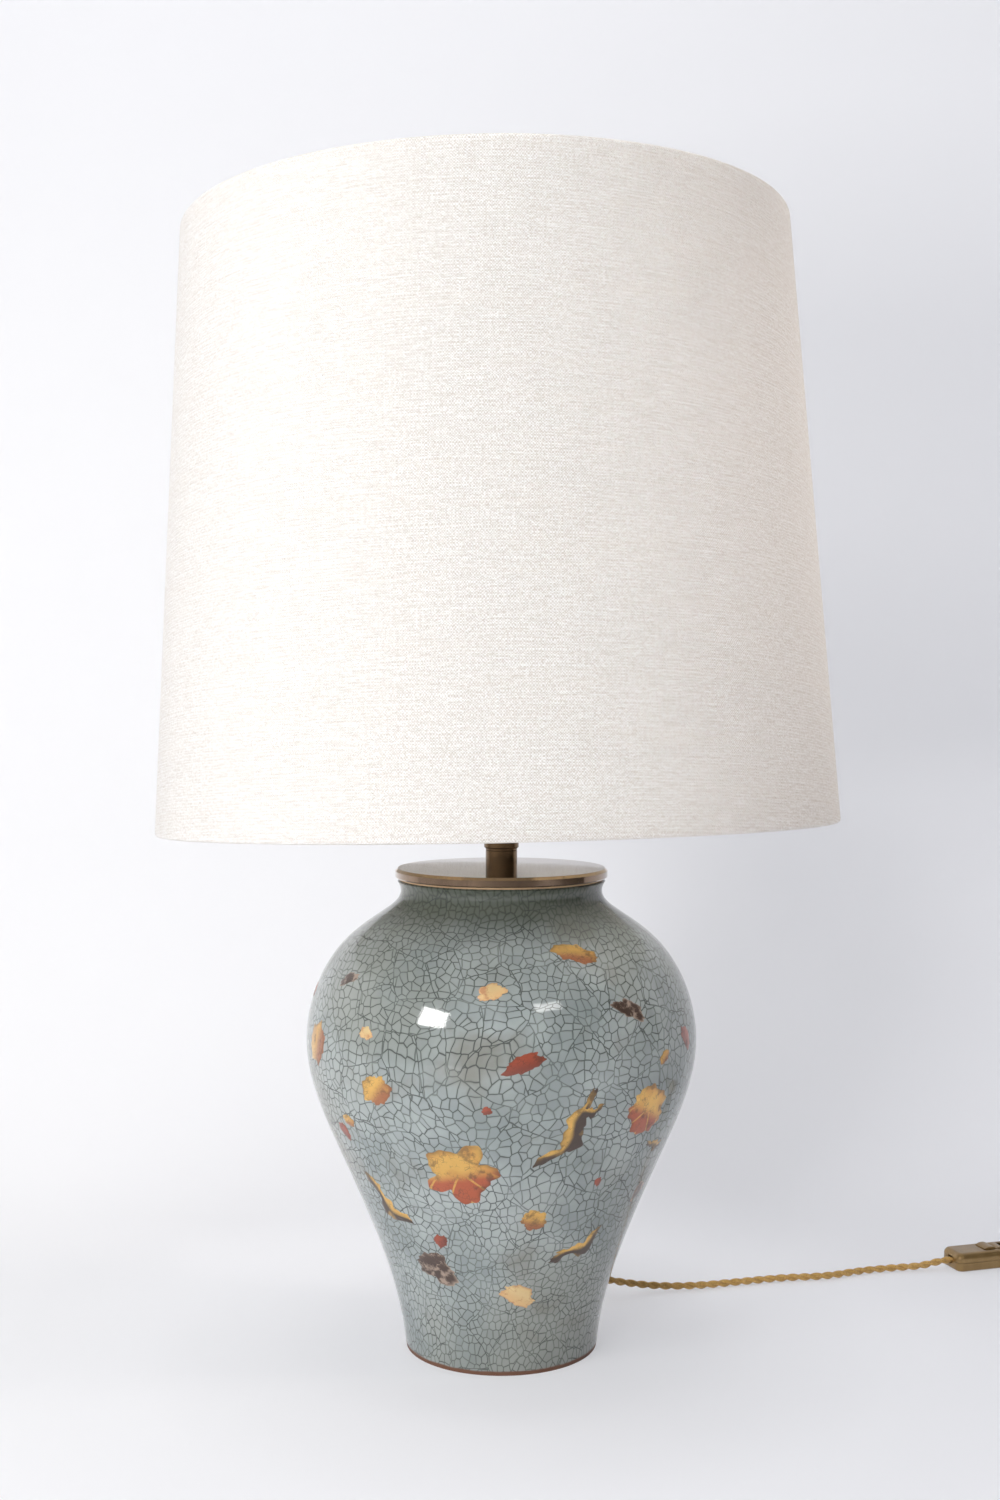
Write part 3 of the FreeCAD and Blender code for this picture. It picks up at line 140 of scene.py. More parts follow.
class Shader:
    """The node tree of one material or of the world."""

    def __init__(self, name: str, owner: Any = None) -> None:
        """Start an empty tree.

        Args:
            name: the material's name.
            owner: the world, where the tree isn't a material's.
        """
        self.owner = owner or bpy.data.materials.new(name)
        self.owner.use_nodes = True
        self.tree = self.owner.node_tree
        self.tree.nodes.clear()

    def node(
        self,
        kind: str,
        settings: dict[str, Any] | None = None,
        sockets: dict[Any, Any] | None = None,
        output: Any = 0,
    ) -> Wire:
        """Add a node.

        Args:
            kind: the node's type.
            settings: its properties, set first.
            sockets: values or wires for its inputs, by name or number.
            output: the output that is wanted, by name or number.

        Returns:
            The wire from that output.
        """
        made = self.tree.nodes.new(kind)
        for name, value in (settings or {}).items():
            setattr(made, name, value)
        for key, value in (sockets or {}).items():
            if isinstance(value, Wire):
                self.tree.links.new(value.socket, made.inputs[key])
            elif isinstance(value, tuple) and made.inputs[key].type == "RGBA":
                made.inputs[key].default_value = (*value, 1.0)
            else:
                made.inputs[key].default_value = value
        return Wire(self, made.outputs[output])

    def place(self) -> Wire:
        """Return the object's own coordinates, in metres."""
        return self.node("ShaderNodeTexCoord", output="Object")

    def ray(self, kind: str) -> Wire:
        """Return 1 for rays of this kind, such as Camera or Glossy."""
        return self.node("ShaderNodeLightPath", output=f"Is {kind} Ray")

    def own_map(self, name: str) -> Wire:
        """Return the piece's own UV map of this name."""
        return self.node("ShaderNodeUVMap", {"uv_map": name})

    def axes(self, vector: Wire) -> tuple[Wire, Wire, Wire]:
        """Split a vector into its three numbers."""
        split = self.node("ShaderNodeSeparateXYZ", sockets={0: vector}).socket.node
        return tuple(Wire(self, socket) for socket in split.outputs)

    def vector(self, x: Number, y: Number, z: Number = 0.0) -> Wire:
        """Join three numbers into a vector."""
        return self.node("ShaderNodeCombineXYZ", sockets={0: x, 1: y, 2: z})

    def combine(self, operation: str, first: Wire, second: Any) -> Wire:
        """Add a Vector Math node on two vectors, or on a vector and a number for SCALE."""
        sockets = {0: first, "Scale" if operation == "SCALE" else 1: second}
        return self.node("ShaderNodeVectorMath", {"operation": operation}, sockets)

    def noise(self, at: Wire, scale: float, detail: float, colour: bool = False) -> Wire:
        """Add smooth noise, as a number or as a colour."""
        sockets = {"Vector": at, "Scale": scale, "Detail": detail}
        return self.node("ShaderNodeTexNoise", sockets=sockets, output=int(colour))

    def drawn_out(self, x: Wire, y: Wire, scales: tuple[float, float], detail: float) -> Wire:
        """Add noise that is finer along one of two directions than along the other."""
        return self.noise(self.vector(x * scales[0], y * scales[1]), 1.0, detail)

    def cells(
        self, at: Wire, scale: float, edges: bool, disorder: float = 1.0, flat: bool = False
    ) -> Wire:
        """Add random cells.

        Args:
            at: where they are looked up.
            scale: how many there are to a metre.
            edges: whether the distance to their edges is wanted, or else a colour for each.
            disorder: how irregular they are, from 0 to 1.
            flat: whether they lie in a plane, not in space.

        Returns:
            The distance or the colour.
        """
        settings = {
            "feature": "DISTANCE_TO_EDGE" if edges else "F1",
            "voronoi_dimensions": "2D" if flat else "3D",
        }
        sockets = {"Vector": at, "Scale": scale, "Randomness": disorder}
        output = "Distance" if edges else "Color"
        return self.node("ShaderNodeTexVoronoi", settings, sockets, output)

    def mix(self, amount: Number, first: Any, second: Any) -> Wire:
        """Mix two colours."""
        settings = {"data_type": "RGBA", "clamp_factor": True}
        return self.node("ShaderNodeMix", settings, {0: amount, 6: first, 7: second}, 2)

    def relief(self, height: Wire, depth: float, strength: float) -> Wire:
        """Turn a height into a bumped normal."""
        sockets = {"Strength": strength, "Distance": depth, "Height": height}
        return self.node("ShaderNodeBump", sockets=sockets)

    def surface(self, **sockets: Any) -> bpy.types.Material:
        """Close the tree with the main surface shader.

        Args:
            sockets: its inputs, with underscores for the spaces in their names.

        Returns:
            The finished material.
        """
        named = {key.replace("_", " "): value for key, value in sockets.items()}
        shaded = self.node("ShaderNodeBsdfPrincipled", sockets=named)
        return self.close(shaded)

    def close(self, shaded: Wire) -> bpy.types.Material:
        """End the tree.

        Args:
            shaded: the shader that goes to its output.

        Returns:
            The tree's owner.
        """
        kind = "World" if isinstance(self.owner, bpy.types.World) else "Material"
        end = self.tree.nodes.new(f"ShaderNodeOutput{kind}")
        self.tree.links.new(shaded.socket, end.inputs["Surface"])
        return self.owner


# ---------------------------------------------------------------- finishes


class Finish(Protocol):
    """Anything that makes a material."""

    def material(self) -> bpy.types.Material:
        """Return the material."""


@dataclass(frozen=True)
class CrackleGlaze:
    """Glossy grey-green celadon with stained crackle, and bare clay at the foot's edge.

    The cracks' jog and drift and the border between the jar's halves are each a noise's scale
    and how far it pushes, in metres. The throat is where painted shade, with a painted dark
    reflection of the cap, darkens the glaze under the cap.
    """

    name: str = "crackle_glaze"
    sea: Colour = (0.243, 0.279, 0.280)
    mist: Colour = (0.412, 0.452, 0.452)
    olive: Colour = (0.255, 0.262, 0.222)
    stain: Colour = (0.190, 0.178, 0.145)
    crack: Colour = (0.048, 0.056, 0.052)
    clay: Colour = (0.16, 0.075, 0.045)
    pale: Colour = (0.46, 0.52, 0.50)
    painted_shade_and_grime: Colour = (0.080, 0.090, 0.068)
    main_cell: float = 0.0340
    small_cell: float = 0.0071
    crack_width: float = 0.00066
    disorder: float = 0.78
    bare_edge: float = 0.0016
    belly_radius: float = 0.1443
    belly_height: float = 0.233
    waist: float = 0.14
    border: tuple[float, float] = (22.0, 0.05)
    halves_apart: float = 3.0
    jog: tuple[float, float] = (45.0, 0.0075)
    drift: tuple[float, float] = (9.0, 0.030)
    throat: tuple[float, float] = (0.304, 0.332)
    foot: float = 0.05
    clouds: float = 13.0
    patches: float = 7.0
    smears: float = 17.0
    unevenness: float = 60.0
    swell: float = 26.0
    relief: float = 0.0010

    def unrolled(self, shader: Shader, place: Wire) -> tuple[Wire, Wire]:
        """Unroll the jar's wall, so that the cracks run square to it.

        Args:
            shader: the glaze's tree.
            place: the jar's own coordinates.

        Returns:
            The unrolled place, its front and back halves far apart, and the distance from their
            wavy border.
        """
        east, north, height = shader.axes(place)
        scale, reach = self.border
        border = north + (shader.noise(place, scale, 2.0) - 0.5) * reach
        back = border.rise(0.0, 0.00001)
        facing = 1.0 - back * 2.0
        sides = {0: east * facing, 1: north * facing * -1.0}
        turned = shader.node("ShaderNodeMath", {"operation": "ARCTAN2"}, sides)
        radius = (east * east + north * north).power(0.5)
        above = height.rise(self.belly_height, self.belly_height + 0.001)
        shoulder = (self.belly_radius - radius) * above
        up = height + shoulder * 0.5 - (self.waist - height).larger(0.0) * 0.15
        span = radius * 0.45 + self.belly_radius * 0.55
        return shader.vector(turned * span + back * self.halves_apart, up), border.size()

    def material(self) -> bpy.types.Material:
        """Glaze the jar.

        Returns:
            The material.
        """
        shader = Shader(self.name)
        place = shader.place()
        _, _, height = shader.axes(place)
        sheet, border = self.unrolled(shader, place)
        bent = sheet
        for (scale, reach), detail in ((self.jog, 2.0), (self.drift, 1.0)):
            push = shader.combine("SCALE", shader.noise(place, scale, detail, colour=True), reach)
            bent = shader.combine("ADD", bent, push)

        main = 1.0 / self.main_cell
        small = 1.0 / self.small_cell
        half = self.crack_width / 2
        long_cracks = shader.cells(bent, main, edges=True, flat=True)
        own = shader.combine("ADD", bent, shader.cells(bent, main, edges=False, flat=True))
        short_cracks = shader.cells(own, small, edges=True, disorder=self.disorder, flat=True)
        uneven = shader.noise(place, self.unevenness, 2.0)
        lines = long_cracks.rise(half * main * 1.9, half * main * 0.3)
        lines = lines.larger(border.rise(half * 2.0, half * 0.5))
        fine = short_cracks.rise(half * small * 1.8, half * small * 0.3)
        crackle = lines.larger(fine) * (0.62 + uneven.rise(0.35, 0.62) * 0.38)
        halo = short_cracks.rise(0.24, 0.0) * 0.14

        cloud = shader.noise(place, self.clouds, 4.0).rise(0.34, 0.66)
        tint = shader.cells(own, small, edges=False, disorder=self.disorder, flat=True)
        tone = shader.node("ShaderNodeRGBToBW", sockets={0: tint})
        glaze = shader.mix(cloud, self.sea, self.mist)
        glaze = shader.mix(tone.rise(0.1, 0.9) * 0.20, glaze, self.pale)
        patches = shader.noise(place, self.patches, 3.0).rise(0.42, 0.66) * 0.55
        glaze = shader.mix(patches, glaze, self.olive)
        smear = shader.noise(place, self.smears, 5.0).rise(0.56, 0.74) * 0.60
        glaze = shader.mix(smear, glaze, self.stain)
        # Painted shade and reflection in the throat under the cap, a slight darkening towards the
        # foot, and the real stain round the small cracks.
        darker = height.rise(*self.throat) * 0.90 + height.rise(self.foot, 0.0) * 0.12 + halo
        glaze = shader.mix(darker, glaze, self.painted_shade_and_grime)
        glaze = shader.mix(crackle * 0.88, glaze, self.crack)
        ragged = height - uneven * 0.0018
        bare = ragged.rise(self.bare_edge + 0.0014, self.bare_edge)
        glaze = shader.mix(bare, glaze, self.clay)

        level = shader.noise(place, self.swell, 2.0) - crackle * 0.012
        return shader.surface(
            Base_Color=glaze,
            Roughness=0.050 + bare * 0.6 + smear * 0.06 + crackle * 0.04,
            IOR=1.52,
            Normal=shader.relief(level, self.relief, 0.5),
        )


class Motif(Enum):
    """The kinds of inlaid lacquer fragment."""

    LEAF = "leaf"
    PETAL = "petal"
    TWIG = "twig"
    CHIP = "chip"
    FLAKE = "flake"
    CREAM = "cream"


@dataclass(frozen=True)
class InlaidLacquer:
    """Gilt and coloured lacquer, worn, set into the glaze; its map runs over each fragment."""

    name: str
    top: Colour
    low: Colour
    shade: Colour
    gilt: float
    fade: tuple[float, float]
    ribs: float = 0.0
    grain: float = 160.0
    patches: float = 55.0
    splits: float = 330.0
    relief: float = 0.0009

    def material(self) -> bpy.types.Material:
        """Gild and colour the lacquer.

        Returns:
            The material.
        """
        shader = Shader(self.name)
        place = shader.place()
        across, along, _ = shader.axes(shader.own_map("Motif"))
        grain = shader.noise(place, self.grain, 4.0)
        patch = shader.noise(place, self.patches, 3.0)
        edge = along + (patch - 0.5) * 0.55
        fade = edge.rise(*self.fade)
        body = shader.mix(fade, self.low, self.top)
        spread = (across.size() + along * 0.55) * self.ribs
        ribs = (spread + patch * 2.0).wave().rise(0.86, 0.98) * (1.0 - fade) * 0.75
        body = shader.mix(ribs, body, self.top)
        reach = across * across + along * along
        rim = reach.rise(0.50, 0.98) * patch.rise(0.35, 0.60) * 0.75
        # The always-dark outline is the lacquer's own dark edge and also a painted shadow line at
        # its raised rim.
        rim = rim.larger(reach.rise(0.84, 0.97) * 0.55)
        split = shader.cells(place, self.splits, edges=True).rise(0.07, 0.01)
        split = split * grain.rise(0.42, 0.60)
        worn = (grain + patch * 0.6).rise(0.84, 1.00) * 0.60
        worn = worn.larger(rim).larger(split * 0.55)
        body = shader.mix(patch.rise(0.40, 0.66) * 0.35, body, self.low)
        body = shader.mix(worn, body, self.shade)
        gilt = (fade + ribs) * (1.0 - worn) * self.gilt
        return shader.surface(
            Base_Color=body,
            Metallic=gilt,
            Roughness=0.36 - gilt * 0.06 + worn * 0.2,
            Coat_Weight=0.55,
            Coat_Roughness=0.12,
            Normal=shader.relief(grain * 0.5 + patch - ribs * 0.3, self.relief, 0.6),
        )


@dataclass(frozen=True)
class DarkBronze:
    """Patinated bronze: dark brown, brighter in a band of rubbed metal that is also a painted
    highlight.

    The rubbed, highlighted band lies between two heights, and starts out far above the lamp. The
    brush marks have a scale round the piece and one up it.
    """

    name: str
    base: Colour = (0.330, 0.216, 0.136)
    rubbed_highlight: Colour = (0.62, 0.40, 0.19)
    roughness: float = 0.22
    rubbed_highlight_band: tuple[float, float] = (9.0, 9.1)
    rubbed_highlight_from: float = 0.0
    lacquer: float = 0.25
    cloud: Colour = (0.10, 0.062, 0.036)
    painted_shade_and_grime: Colour = (0.06, 0.04, 0.03)
    clouds: float = 38.0
    brush: tuple[float, float] = (300.0, 20.0)

    def material(self) -> bpy.types.Material:
        """Cast and rub the bronze.

        Returns:
            The material.
        """
        shader = Shader(self.name)
        place = shader.place()
        east, north, height = shader.axes(place)
        cloud = shader.noise(place, self.clouds, 4.0)
        fine, coarse = self.brush
        streak = shader.noise(shader.vector(east * fine, north * fine, height * coarse), 1.0, 2.0)
        middle = sum(self.rubbed_highlight_band) / 2
        reach = (self.rubbed_highlight_band[1] - self.rubbed_highlight_band[0]) / 2
        radius = (east * east + north * north).power(0.5)
        # The band on the cap's chamfer is brighter rubbed metal and also a painted highlight.
        band = (height - middle).size().rise(reach * 1.15, reach * 0.7)
        band = band * radius.rise(self.rubbed_highlight_from - 0.0004, self.rubbed_highlight_from)
        tone = shader.mix(cloud.rise(0.35, 0.7) * 0.35, self.base, self.cloud)
        tone = shader.mix(band * (0.65 + cloud * 0.5), tone, self.rubbed_highlight)
        tone = shader.mix(streak.rise(0.50, 0.75) * 0.18, tone, self.painted_shade_and_grime)
        return shader.surface(
            Base_Color=tone,
            Metallic=1.0,
            Roughness=self.roughness + cloud * 0.06,
            Coat_Weight=self.lacquer,
            Coat_Roughness=0.05,
        )


@dataclass(frozen=True)
class Linen:
    """Slubby ivory linen; its map is the flat cut, in metres along weft and warp.

    A pair of numbers is the scale of a noise along the weft and along the warp.
    """

    name: str = "slub_linen"
    thread: Colour = (0.950, 0.947, 0.936)
    shaded_valley: Colour = (0.668, 0.615, 0.560)
    flax: Colour = (0.800, 0.722, 0.640)
    knot: Colour = (0.905, 0.885, 0.845)
    warp_pitch: float = 0.00185
    weft_pitch: float = 0.00195
    wander: tuple[float, float] = (9.0, 240.0)
    sway: tuple[float, float] = (240.0, 7.0)
    slubs: tuple[float, float] = (26.0, 430.0)
    uprights: tuple[float, float] = (430.0, 30.0)
    fibres: tuple[float, float] = (70.0, 620.0)
    streaks: tuple[float, float] = (5.0, 70.0)
    fuzz: float = 900.0
    curl: float = 430.0
    relief: float = 0.00095

    def material(self) -> bpy.types.Material:
        """Weave the linen.

        Returns:
            The material.
        """
        shader = Shader(self.name)
        flat = shader.own_map("Cut")
        weft, warp, _ = shader.axes(flat)
        wander = shader.drawn_out(weft, warp, self.wander, 2.0)
        sway = shader.drawn_out(weft, warp, self.sway, 2.0)
        rows = (warp * (2 * math.pi / self.weft_pitch) + wander * 9.0).wave()
        columns = (weft * (2 * math.pi / self.warp_pitch) + sway * 8.0).wave()
        crossing = rows * columns * 0.5 + 0.5
        fuzz = shader.noise(shader.combine("SCALE", flat, self.fuzz), 1.0, 3.0)
        curl = shader.noise(shader.combine("SCALE", flat, self.curl), 1.0, 2.0)
        slub = shader.drawn_out(weft, warp, self.slubs, 3.0).rise(0.56, 0.74)
        upright = shader.drawn_out(weft, warp, self.uprights, 2.0).rise(0.60, 0.76)
        fibre = shader.drawn_out(weft, warp, self.fibres, 3.0)
        height = crossing * 0.42 + rows * 0.05 + fuzz * 0.80 + curl * 0.50 + slub * 0.05
        height = height + upright * 0.03 + fibre * 0.34 - 0.13
        # The valleys between the threads are painted darker: painted shade in the weave, tinted
        # with the flax's own tan.
        light = height.rise(0.60, 1.20)
        tone = shader.mix(light, self.shaded_valley, self.thread)
        tone = shader.mix(curl.rise(0.62, 0.78) * 0.30, tone, self.flax)
        tone = shader.mix(slub * 0.06, tone, self.knot)
        streak = shader.drawn_out(weft, warp, self.streaks, 3.0).rise(0.45, 0.72)
        tone = shader.mix(streak * 0.10, tone, self.flax)
        return shader.surface(
            Base_Color=tone,
            Roughness=0.92,
            Sheen_Weight=0.08,
            Sheen_Roughness=0.6,
            Specular_IOR_Level=0.15,
            Normal=shader.relief(height, self.relief, 0.9),
        )


@dataclass(frozen=True)
class TwistedSilk:
    """Gold braided fabric over a strand; its map runs along and round the strand."""

    name: str = "gold_braid"
    gold: Colour = (0.640, 0.385, 0.115)
    pale: Colour = (0.800, 0.545, 0.225)
    dark: Colour = (0.200, 0.105, 0.028)
    plait: float = 0.0012
    starts: int = 3
    wear: float = 500.0
    relief: float = 0.00012

    def material(self) -> bpy.types.Material:
        """Braid the silk.

        Returns:
            The material.
        """
        shader = Shader(self.name)
        along, around, _ = shader.axes(shader.own_map("Braid"))
        steps = along * (2 * math.pi / self.plait)
        starts = around * (2 * math.pi * self.starts)
        left = (steps + starts).wave()
        right = (steps - starts).wave()
        plait = left.larger(right)
        wear = shader.noise(shader.place(), self.wear, 3.0)
        # The grooves between the plaits are painted darker: painted shade in the braid.
        tone = shader.mix(plait.rise(-0.6, 0.9) * 0.55 + 0.45, self.dark, self.gold)
        tone = shader.mix(wear.rise(0.42, 0.72) * 0.6, tone, self.pale)
        return shader.surface(
            Base_Color=tone,
            Roughness=0.50 + wear * 0.15,
            Sheen_Weight=0.35,
            Sheen_Roughness=0.35,
            Normal=shader.relief(plait + wear * 0.5, self.relief, 0.6),
        )


@dataclass(frozen=True)
class Plain:
    """A moulded, painted or bare material with fine mottling and a light grain."""

    name: str
    tone: Colour
    mottle: Colour
    roughness: float = 0.4
    metallic: float = 0.0
    grain: float = 300.0
    depth: float = 0.00008
    coat: float = 0.0

    def material(self) -> bpy.types.Material:
        """Mould or paint the material.

        Returns:
            The material.
        """
        shader = Shader(self.name)
        place = shader.place()
        cloud = shader.noise(place, self.grain * 0.15, 3.0)
        grain = shader.noise(place, self.grain, 3.0)
        tone = shader.mix(cloud.rise(0.35, 0.7) * 0.6 + grain * 0.2, self.tone, self.mottle)
        return shader.surface(
            Base_Color=tone,
            Metallic=self.metallic,
            Roughness=self.roughness + grain * 0.08,
            Coat_Weight=self.coat,
            Normal=shader.relief(grain, self.depth, 0.5),
        )


# ---------------------------------------------------------------- mesh helpers


def node_object(name: str) -> bpy.types.Object:
    """Return the object of a CAD node."""
    return next(item for item in bpy.data.objects if item.get("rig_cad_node") == name)


def dress(finish: Finish, *names: str) -> bpy.types.Material:
    """Give CAD nodes a finish.

    Args:
        finish: the finish.
        names: the nodes.

    Returns:
        Its material, for the pieces that share it.
    """
    material = finish.material()
    for name in names:
        for holder in node_object(name).material_slots:
            holder.material = material
    return material


def hang(name: str, data: bpy.types.ID) -> bpy.types.Object:
    """Put an object that holds this mesh, camera or light in the scene.

    Args:
        name: its name.
        data: what it holds.

    Returns:
        The object.
    """
    holder = bpy.data.objects.new(name, data)
    bpy.context.collection.objects.link(holder)
    return holder


def mesh_of(
    name: str, shape: bmesh.types.BMesh, material: bpy.types.Material, smooth: bool = True
) -> bpy.types.Mesh:
    """Turn a finished bmesh into a mesh.

    Args:
        name: the mesh's name.
        shape: the bmesh, which is freed.
        material: its finish.
        smooth: whether it is shaded smooth.

    Returns:
        The mesh.
    """
    mesh = bpy.data.meshes.new(name)
    for face in shape.faces:
        face.smooth = smooth
    shape.to_mesh(mesh)
    shape.free()
    mesh.materials.append(material)
    return mesh


def keep(name: str, mesh: bpy.types.Mesh, body: str) -> bpy.types.Object:
    """Keep a mesh as a piece of the lamp.

    Args:
        name: the piece's name.
        mesh: its mesh, in place.
        body: the body that it rides on.

    Returns:
        The piece.
    """
    piece = hang(name, mesh)
    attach(piece, body)
    log.info("%s: %d faces on %s", name, len(mesh.polygons), body)
    return piece


def block(
    shape: bmesh.types.BMesh, size: Sequence[float], middle: Sequence[float] = (0, 0, 0)
) -> list[bmesh.types.BMVert]:
    """Add a block.

    Args:
        shape: the mesh that it goes into.
        size: its length, width and height.
        middle: where its middle stands.

    Returns:
        Its corners.
    """
    corners = bmesh.ops.create_cube(shape, size=1.0)["verts"]
    bmesh.ops.scale(shape, vec=size, verts=corners)
    bmesh.ops.translate(shape, vec=middle, verts=corners)
    return corners


def edges_along(shape: bmesh.types.BMesh, axis: int) -> list[bmesh.types.BMEdge]:
    """Return a block's edges along an axis, numbered from 0."""
    ends = [(edge, *edge.verts) for edge in shape.edges]
    return [edge for edge, a, b in ends if abs(a.co[axis] - b.co[axis]) > 0.001]


def drop_facing(shape: bmesh.types.BMesh, outward: Vector, both: bool = False) -> None:
    """Delete the faces that look a way.

    Args:
        shape: the mesh.
        outward: the way.
        both: whether those that look the opposite way go too.
    """
    looks = [(face, face.normal.dot(outward)) for face in shape.faces]
    gone = [face for face, share in looks if (abs(share) if both else share) > 0.5]
    bmesh.ops.delete(shape, geom=gone, context="FACES")


def round_off(
    shape: bmesh.types.BMesh, edges: Sequence[bmesh.types.BMEdge], radius: float, steps: int
) -> None:
    """Round some edges off.

    Args:
        shape: the mesh.
        edges: its edges.
        radius: how far the rounding reaches from them.
        steps: how many faces it has.
    """
    bmesh.ops.bevel(
        shape, geom=list(edges), offset=radius, offset_type="OFFSET", affect="EDGES",
        segments=steps, profile=0.5, material=-1,
    )


def face_up(shape: bmesh.types.BMesh) -> None:
    """Turn every face round where most of them look down."""
    shape.normal_update()
    if sum(face.normal.z for face in shape.faces) < 0:
        bmesh.ops.reverse_faces(shape, faces=shape.faces[:])


# ---------------------------------------------------------------- jar and inlays


@dataclass
class Fragment:
    """One inlaid fragment and where it sits on the jar.

    Azimuths are degrees from the front towards the right, heights are up the jar.
    """

    motif: Motif
    azimuth: float
    height: float
    length: float
    width: float
    turned: float


@dataclass
class Jar:
    """The crackle-glazed jar with its cork ring, cord bush and inlaid lacquer."""

    grid: int = 34
    lift: float = 0.00026
    tuck: float = 0.0006
    reach: float = 0.30
    mean_radius: float = 0.125
    clearance: float = 0.012
    tears: tuple[float, ...] = (0.10, 0.07, 0.06, 0.045, 0.035)
    tear_waves: tuple[int, ...] = (2, 5, 7, 12, 19)
    back_azimuths: tuple[float, float] = (82, 278)
    back_heights: tuple[float, float] = (0.055, 0.275)
    back_chips: int = 9
    tries: int = 60
    seed: int = 21

    def build(self) -> None:
        """Dress the jar and set its fragments."""
        dress(CrackleGlaze(), "jar")
        dress(Plain("cork_paper", (0.50, 0.34, 0.20), (0.30, 0.19, 0.11), 0.85), "cork_ring")
        dress(Plain("bush_rubber", (0.035, 0.033, 0.031), (0.06, 0.057, 0.053), 0.55), "cord_bush")
        self.tree = BVHTree.FromObject(node_object("jar"), bpy.context.evaluated_depsgraph_get())
        self.random = random.Random(self.seed)
        finishes = self.finishes()
        fragments = self.fragments()
        for motif in Motif:
            shape = bmesh.new()
            own_map = shape.loops.layers.uv.new("Motif")
            for fragment in fragments:
                if fragment.motif is motif:
                    self.add_fragment(shape, own_map, fragment)
            name = f"inlay_{motif.value}"
            piece = keep(name, mesh_of(name, shape, finishes[motif].material()), "base")

    def finishes(self) -> dict[Motif, InlaidLacquer]:
        """Colour the motifs.

        Returns:
            The finish of each.
        """
        gold = (0.780, 0.470, 0.130)
        red = (0.400, 0.085, 0.030)
        dark = (0.050, 0.028, 0.018)
        brown = (0.33, 0.12, 0.045)
        brick, deep = (0.34, 0.070, 0.035), (0.20, 0.045, 0.025)
        black, dust = (0.07, 0.04, 0.03), (0.55, 0.42, 0.33)
        straw, amber = (0.78, 0.60, 0.30), (0.72, 0.47, 0.22)
        return {
            Motif.LEAF: InlaidLacquer("gilt_leaf", gold, red, dark, 0.75, (-0.35, 0.15), 11.0),
            Motif.PETAL: InlaidLacquer("gilt_petal", gold, brown, dark, 0.7, (-0.6, 0.3)),
            Motif.TWIG: InlaidLacquer("gilt_twig", gold, dark, dark, 0.75, (-0.1, 0.5)),
            Motif.CHIP: InlaidLacquer("red_lacquer", brick, deep, dark, 0.1, (-0.6, 0.6)),
            Motif.FLAKE: InlaidLacquer("black_lacquer", black, dark, dust, 0.1, (-0.5, 0.5)),
            Motif.CREAM: InlaidLacquer("pale_gilt", straw, amber, red, 0.45, (-0.5, 0.4)),
        }

    def fragments(self) -> list[Fragment]:
        """Place the fragments: chosen ones on the front, and drawn ones round the back.

        A row holds a chosen one's azimuth, height, length, width and turn.

        Returns:
            All of them.
        """
        chosen = {
            Motif.LEAF: [(-13, 0.158, 0.056, 0.044, 14), (47, 0.196, 0.046, 0.036, -24)],
            Motif.TWIG: [
                (20, 0.190, 0.066, 0.021, 62), (25, 0.203, 0.022, 0.011, 8),
                (-47, 0.128, 0.054, 0.021, -52), (33, 0.096, 0.046, 0.019, 24),
                (58, 0.166, 0.026, 0.011, -14),
            ],
            Motif.PETAL: [
                (-37, 0.214, 0.028, 0.022, 48), (12, 0.122, 0.021, 0.017, -12),
                (-66, 0.236, 0.034, 0.028, 70), (27, 0.306, 0.034, 0.018, -8),
                (-52, 0.186, 0.013, 0.010, 15), (52, 0.232, 0.013, 0.009, 40),
            ],
            Motif.CHIP: [
                (6, 0.238, 0.030, 0.013, 16), (-25, 0.103, 0.013, 0.010, 60),
                (-57, 0.176, 0.017, 0.011, -34), (66, 0.240, 0.024, 0.012, -50),
                (-4, 0.206, 0.008, 0.006, 10), (34, 0.147, 0.008, 0.006, 80),
            ],
            Motif.FLAKE: [
                (-30, 0.080, 0.034, 0.025, -20), (40, 0.268, 0.030, 0.013, -30),
                (62, 0.128, 0.018, 0.013, 33), (-56, 0.284, 0.022, 0.009, 28),
            ],
            Motif.CREAM: [
                (8, 0.062, 0.029, 0.016, -30), (-3, 0.284, 0.022, 0.012, 22),
                (-41, 0.252, 0.012, 0.010, 0),
            ],
        }
        front = [Fragment(motif, *row) for motif, rows in chosen.items() for row in rows]
        return front + self.drawn_fragments(front)

    def drawn_fragments(self, placed: Sequence[Fragment]) -> list[Fragment]:
        """Draw fragments for the sides and back, clear of each other and of the placed ones.

        Args:
            placed: the chosen fragments.

        Returns:
            The drawn ones.
        """
        leaf, petal, twig, chip, flake, cream = Motif
        sizes = {
            leaf: (0.050, 0.78), petal: (0.027, 0.80), twig: (0.052, 0.24),
            chip: (0.016, 0.60), flake: (0.028, 0.60), cream: (0.024, 0.60),
        }
        order = [leaf, twig, leaf, flake, twig, cream, petal, flake, petal, cream, twig]
        out: list[Fragment] = []
        for motif in order + [chip] * self.back_chips:
            length, share = sizes[motif]
            length *= self.random.uniform(0.8, 1.15)
            for _ in range(self.tries):
                azimuth = self.random.uniform(*self.back_azimuths)
                height = self.random.uniform(*self.back_heights)
                if all(
                    math.hypot(
                        math.radians(azimuth - other.azimuth) * self.mean_radius,
                        height - other.height,
                    ) > (length + other.length) / 2 + self.clearance
                    for other in [*placed, *out]
                ):
                    spin = self.random.uniform(-90, 90)
                    out.append(Fragment(motif, azimuth, height, length, length * share, spin))
                    break
        return out

